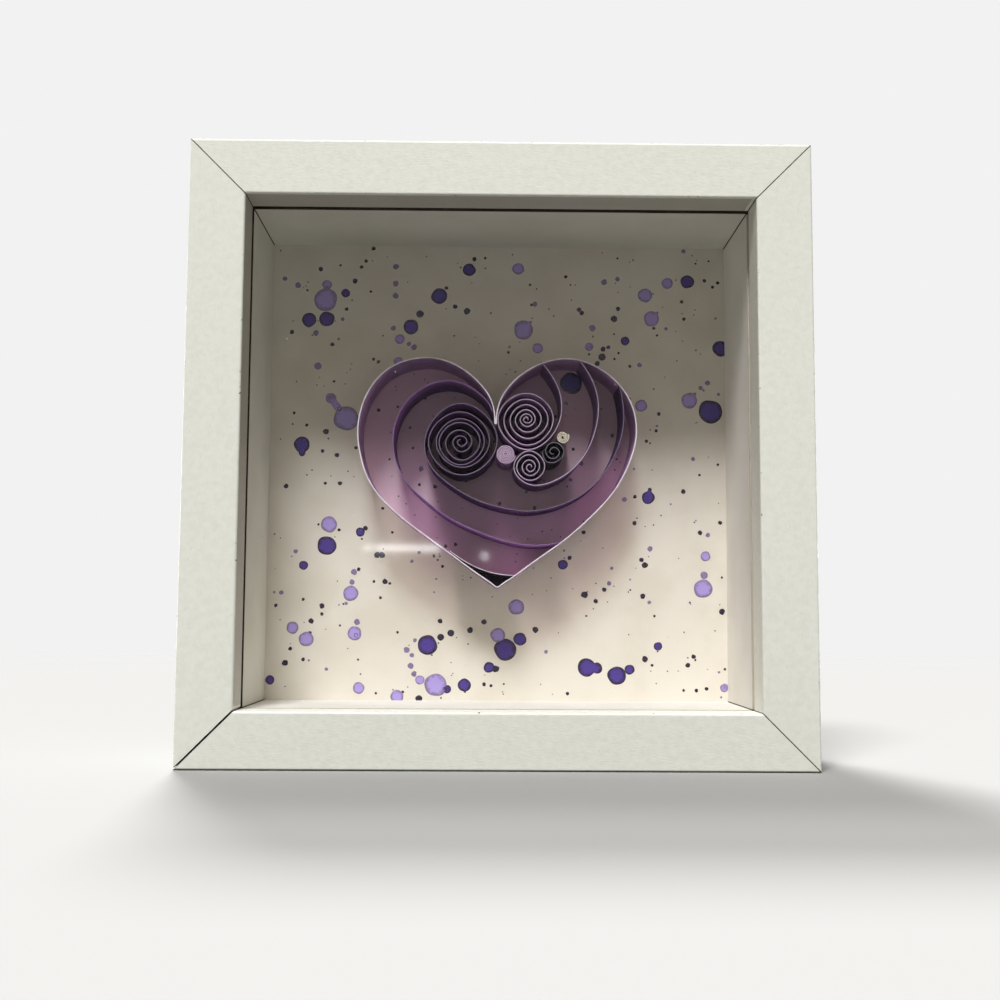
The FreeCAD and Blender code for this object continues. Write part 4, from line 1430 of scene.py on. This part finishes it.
@dataclass
class Studio:
    """Floor, lamps, pale surroundings and the camera of the photograph."""

    background: float = 0.888
    ambient: float = 0.24
    ambient_tint: Colour = (1, 0.93, 0.74, 1)
    floor_bounce: float = 0.1
    floor_shade: float = 0.43
    floor_radius: float = 1.4
    floor_drop: float = 0.02 * MM
    key_strength: float = 3.4
    rim_strength: float = 1.9
    front_shadow_strength: float = 3.45
    short_shadow_strength: float = 0.9
    side_shadow_strength: float = 2.8
    lens: float = 46.13
    nearest_seen: float = 0.01
    gleam_distance: float = 4.0
    camera_place: Place = (-3.717 * MM, -325.068 * MM, 35.079 * MM)
    camera_turn: Place = (95.3099, -0.3311, -0.7476)

    def seen(self, graph: Graph) -> Socket:
        """Where the camera sees a surface directly, in a mirror or through glass.

        Args:
            graph: the nodes of its material.

        Returns:
            The socket that is one there.
        """
        direct = graph.math("MAXIMUM", graph.ray("Camera"), graph.ray("Glossy"))
        return graph.math("MAXIMUM", direct, graph.ray("Transmission"))

    def floor_material(self) -> bpy.types.Material:
        """A pale floor that keeps shadows, throws little light back and fades into the background.

        Returns:
            The material.
        """
        graph = Graph("studio_floor")
        greys = (self.floor_bounce, self.floor_shade)
        bounce, shown = (graph.shader("BsdfDiffuse", Color=(grey, grey, grey, 1)) for grey in greys)
        near = graph.mixed(self.seen(graph), bounce, shown)
        far = graph.node("ShaderNodeVectorMath", operation="LENGTH")
        graph.feed(far.inputs[0], graph.place)
        fade = graph.between(far.outputs["Value"], 0.3 * self.floor_radius, 0.9 * self.floor_radius)
        return graph.finish(graph.mixed(fade, near, graph.shader("BsdfTransparent")))

    def floor(self) -> bpy.types.Object:
        """The floor, a round sheet under the frame.

        Returns:
            The floor.
        """
        shape = bmesh.new()
        bmesh.ops.create_circle(shape, cap_ends=True, segments=96, radius=self.floor_radius)
        mesh = bpy.data.meshes.new("floor")
        shape.to_mesh(mesh)
        shape.free()
        mesh.materials.append(self.floor_material())
        made = put("floor", mesh)
        made.location.z = -self.floor_drop
        return made

    def world(self) -> None:
        """Surroundings that are pale to look at and give only a little light."""
        graph = Graph("surroundings", of_world=True)
        light = graph.shader("Background", Color=self.ambient_tint, Strength=self.ambient)
        shown = graph.shader("Background", Color=WHITE, Strength=self.background)
        bpy.context.scene.world = graph.finish(graph.mixed(self.seen(graph), light, shown))

    def sun(self, name: str, strength: float, towards: Place, spread: float) -> bpy.types.Object:
        """Adds a soft lamp.

        Args:
            name: the lamp's name.
            strength: its strength.
            towards: the direction in which the lamp lies, seen from the frame.
            spread: how wide it looks, in degrees.

        Returns:
            The lamp.
        """
        lamp = bpy.data.lights.new(name, "SUN")
        lamp.energy = strength
        lamp.angle = math.radians(spread)
        made = put(name, lamp)
        made.rotation_euler = Vector(towards).to_track_quat("Z", "Y").to_euler()
        return made

    def only_for(self, lamps: list[bpy.types.Object], floor: bpy.types.Object, state: str) -> None:
        """Lets lamps light the floor alone, or all but the floor.

        Args:
            lamps: the lamps.
            floor: the floor.
            state: INCLUDE or EXCLUDE.
        """
        for lamp in lamps:
            group = bpy.data.collections.new(f"{lamp.name}_receivers")
            group.objects.link(floor)
            group.collection_objects[0].light_linking.link_state = state
            lamp.light_linking.receiver_collection = group

    def gleam(self, name: str, seen_at: Point, size: Point, radiance: float, shape: str) -> None:
        """A small lamp behind the camera, whose mirror image shows in the glass at a place in the picture.

        Args:
            name: the lamp's name.
            seen_at: the millimetres across and up from the frame's middle at which the glass shows it.
            size: width and height of its image there, in millimetres.
            radiance: how bright it is.
            shape: RECTANGLE or ELLIPSE.
        """
        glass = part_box("glass_pane")[0].y
        eye = Vector(self.camera_place)
        spot = Vector((seen_at[0] * MM, glass, seen_at[1] * MM + MIDDLE))
        beyond = eye + (spot - eye) * self.gleam_distance
        lamp = bpy.data.lights.new(name, "AREA")
        lamp.shape = shape
        lamp.size = size[0] * MM * self.gleam_distance
        lamp.size_y = size[1] * MM * self.gleam_distance
        lamp.energy = radiance * math.pi * lamp.size * lamp.size_y
        made = put(name, lamp)
        made.location = (beyond.x, 2 * glass - beyond.y, beyond.z)
        made.rotation_euler = (math.radians(-90), 0, math.radians(180))
        made.visible_camera = False

    def camera(self) -> None:
        """The camera, as fitted to the photograph's frame corners."""
        made = put("camera", bpy.data.cameras.new("camera"))
        made.data.lens = self.lens
        made.data.clip_start = self.nearest_seen
        made.location = self.camera_place
        made.rotation_euler = [math.radians(angle) for angle in self.camera_turn]
        bpy.context.scene.camera = made

    def build(self) -> None:
        """Sets up the studio."""
        bpy.context.scene.view_settings.view_transform = "Standard"
        floor = self.floor()
        self.world()
        upper_lamps = [
            self.sun("key", self.key_strength, (-0.2, -1, 1.53), 15),
            self.sun("rim_left", self.rim_strength, (-0.8, 0.55, 0.04), 20),
            self.sun("rim_right", self.rim_strength, (0.8, 0.55, 0.04), 20),
        ]
        floor_lamps = [
            self.sun("floor_front", self.front_shadow_strength, (-0.24, 1, 1.25), 13),
            self.sun("floor_front_high", self.short_shadow_strength, (-0.3, 1, 2.4), 13),
            self.sun("floor_side", self.side_shadow_strength, (-0.36, -1, 1.5), 16),
        ]
        self.only_for(upper_lamps, floor, "EXCLUDE")
        self.only_for(floor_lamps, floor, "INCLUDE")
        self.gleam("streak", (-22.0, -22.9), (15.0, 1.6), 75, "RECTANGLE")
        self.gleam("streak_end", (-31.5, -22.9), (2.4, 1.4), 40, "ELLIPSE")
        self.gleam("glint", (-3.5, -24.7), (2.0, 2.0), 45, "ELLIPSE")
        self.camera()


def main() -> None:
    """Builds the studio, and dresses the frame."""
    logging.basicConfig(level=logging.INFO, format="%(message)s")
    Studio().build()
    BoxFrame().build()
    card_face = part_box("backing_card")[0].y
    dark = DriedPaint("dark_paint", Tone(78, 57, 142), Tone(46, 36, 50))
    lilac = DriedPaint("lilac_paint", Tone(172, 154, 220), Tone(134, 118, 156))
    for splatter in (
        PaintSplatter("paint_drops_dark", "dark_paint", dark, DARK_NECKS, DARK_FINE, 300, 11, card_face),
        PaintSplatter("paint_drops_lilac", "lilac_paint", lilac, LILAC_NECKS, LILAC_FINE, 110, 12, card_face),
    ):
        splatter.build()
    QuilledHeart().build(card_face)
    GlassDust(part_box("glass_pane")[0].y).build()


if __name__ == "__main__":
    main()
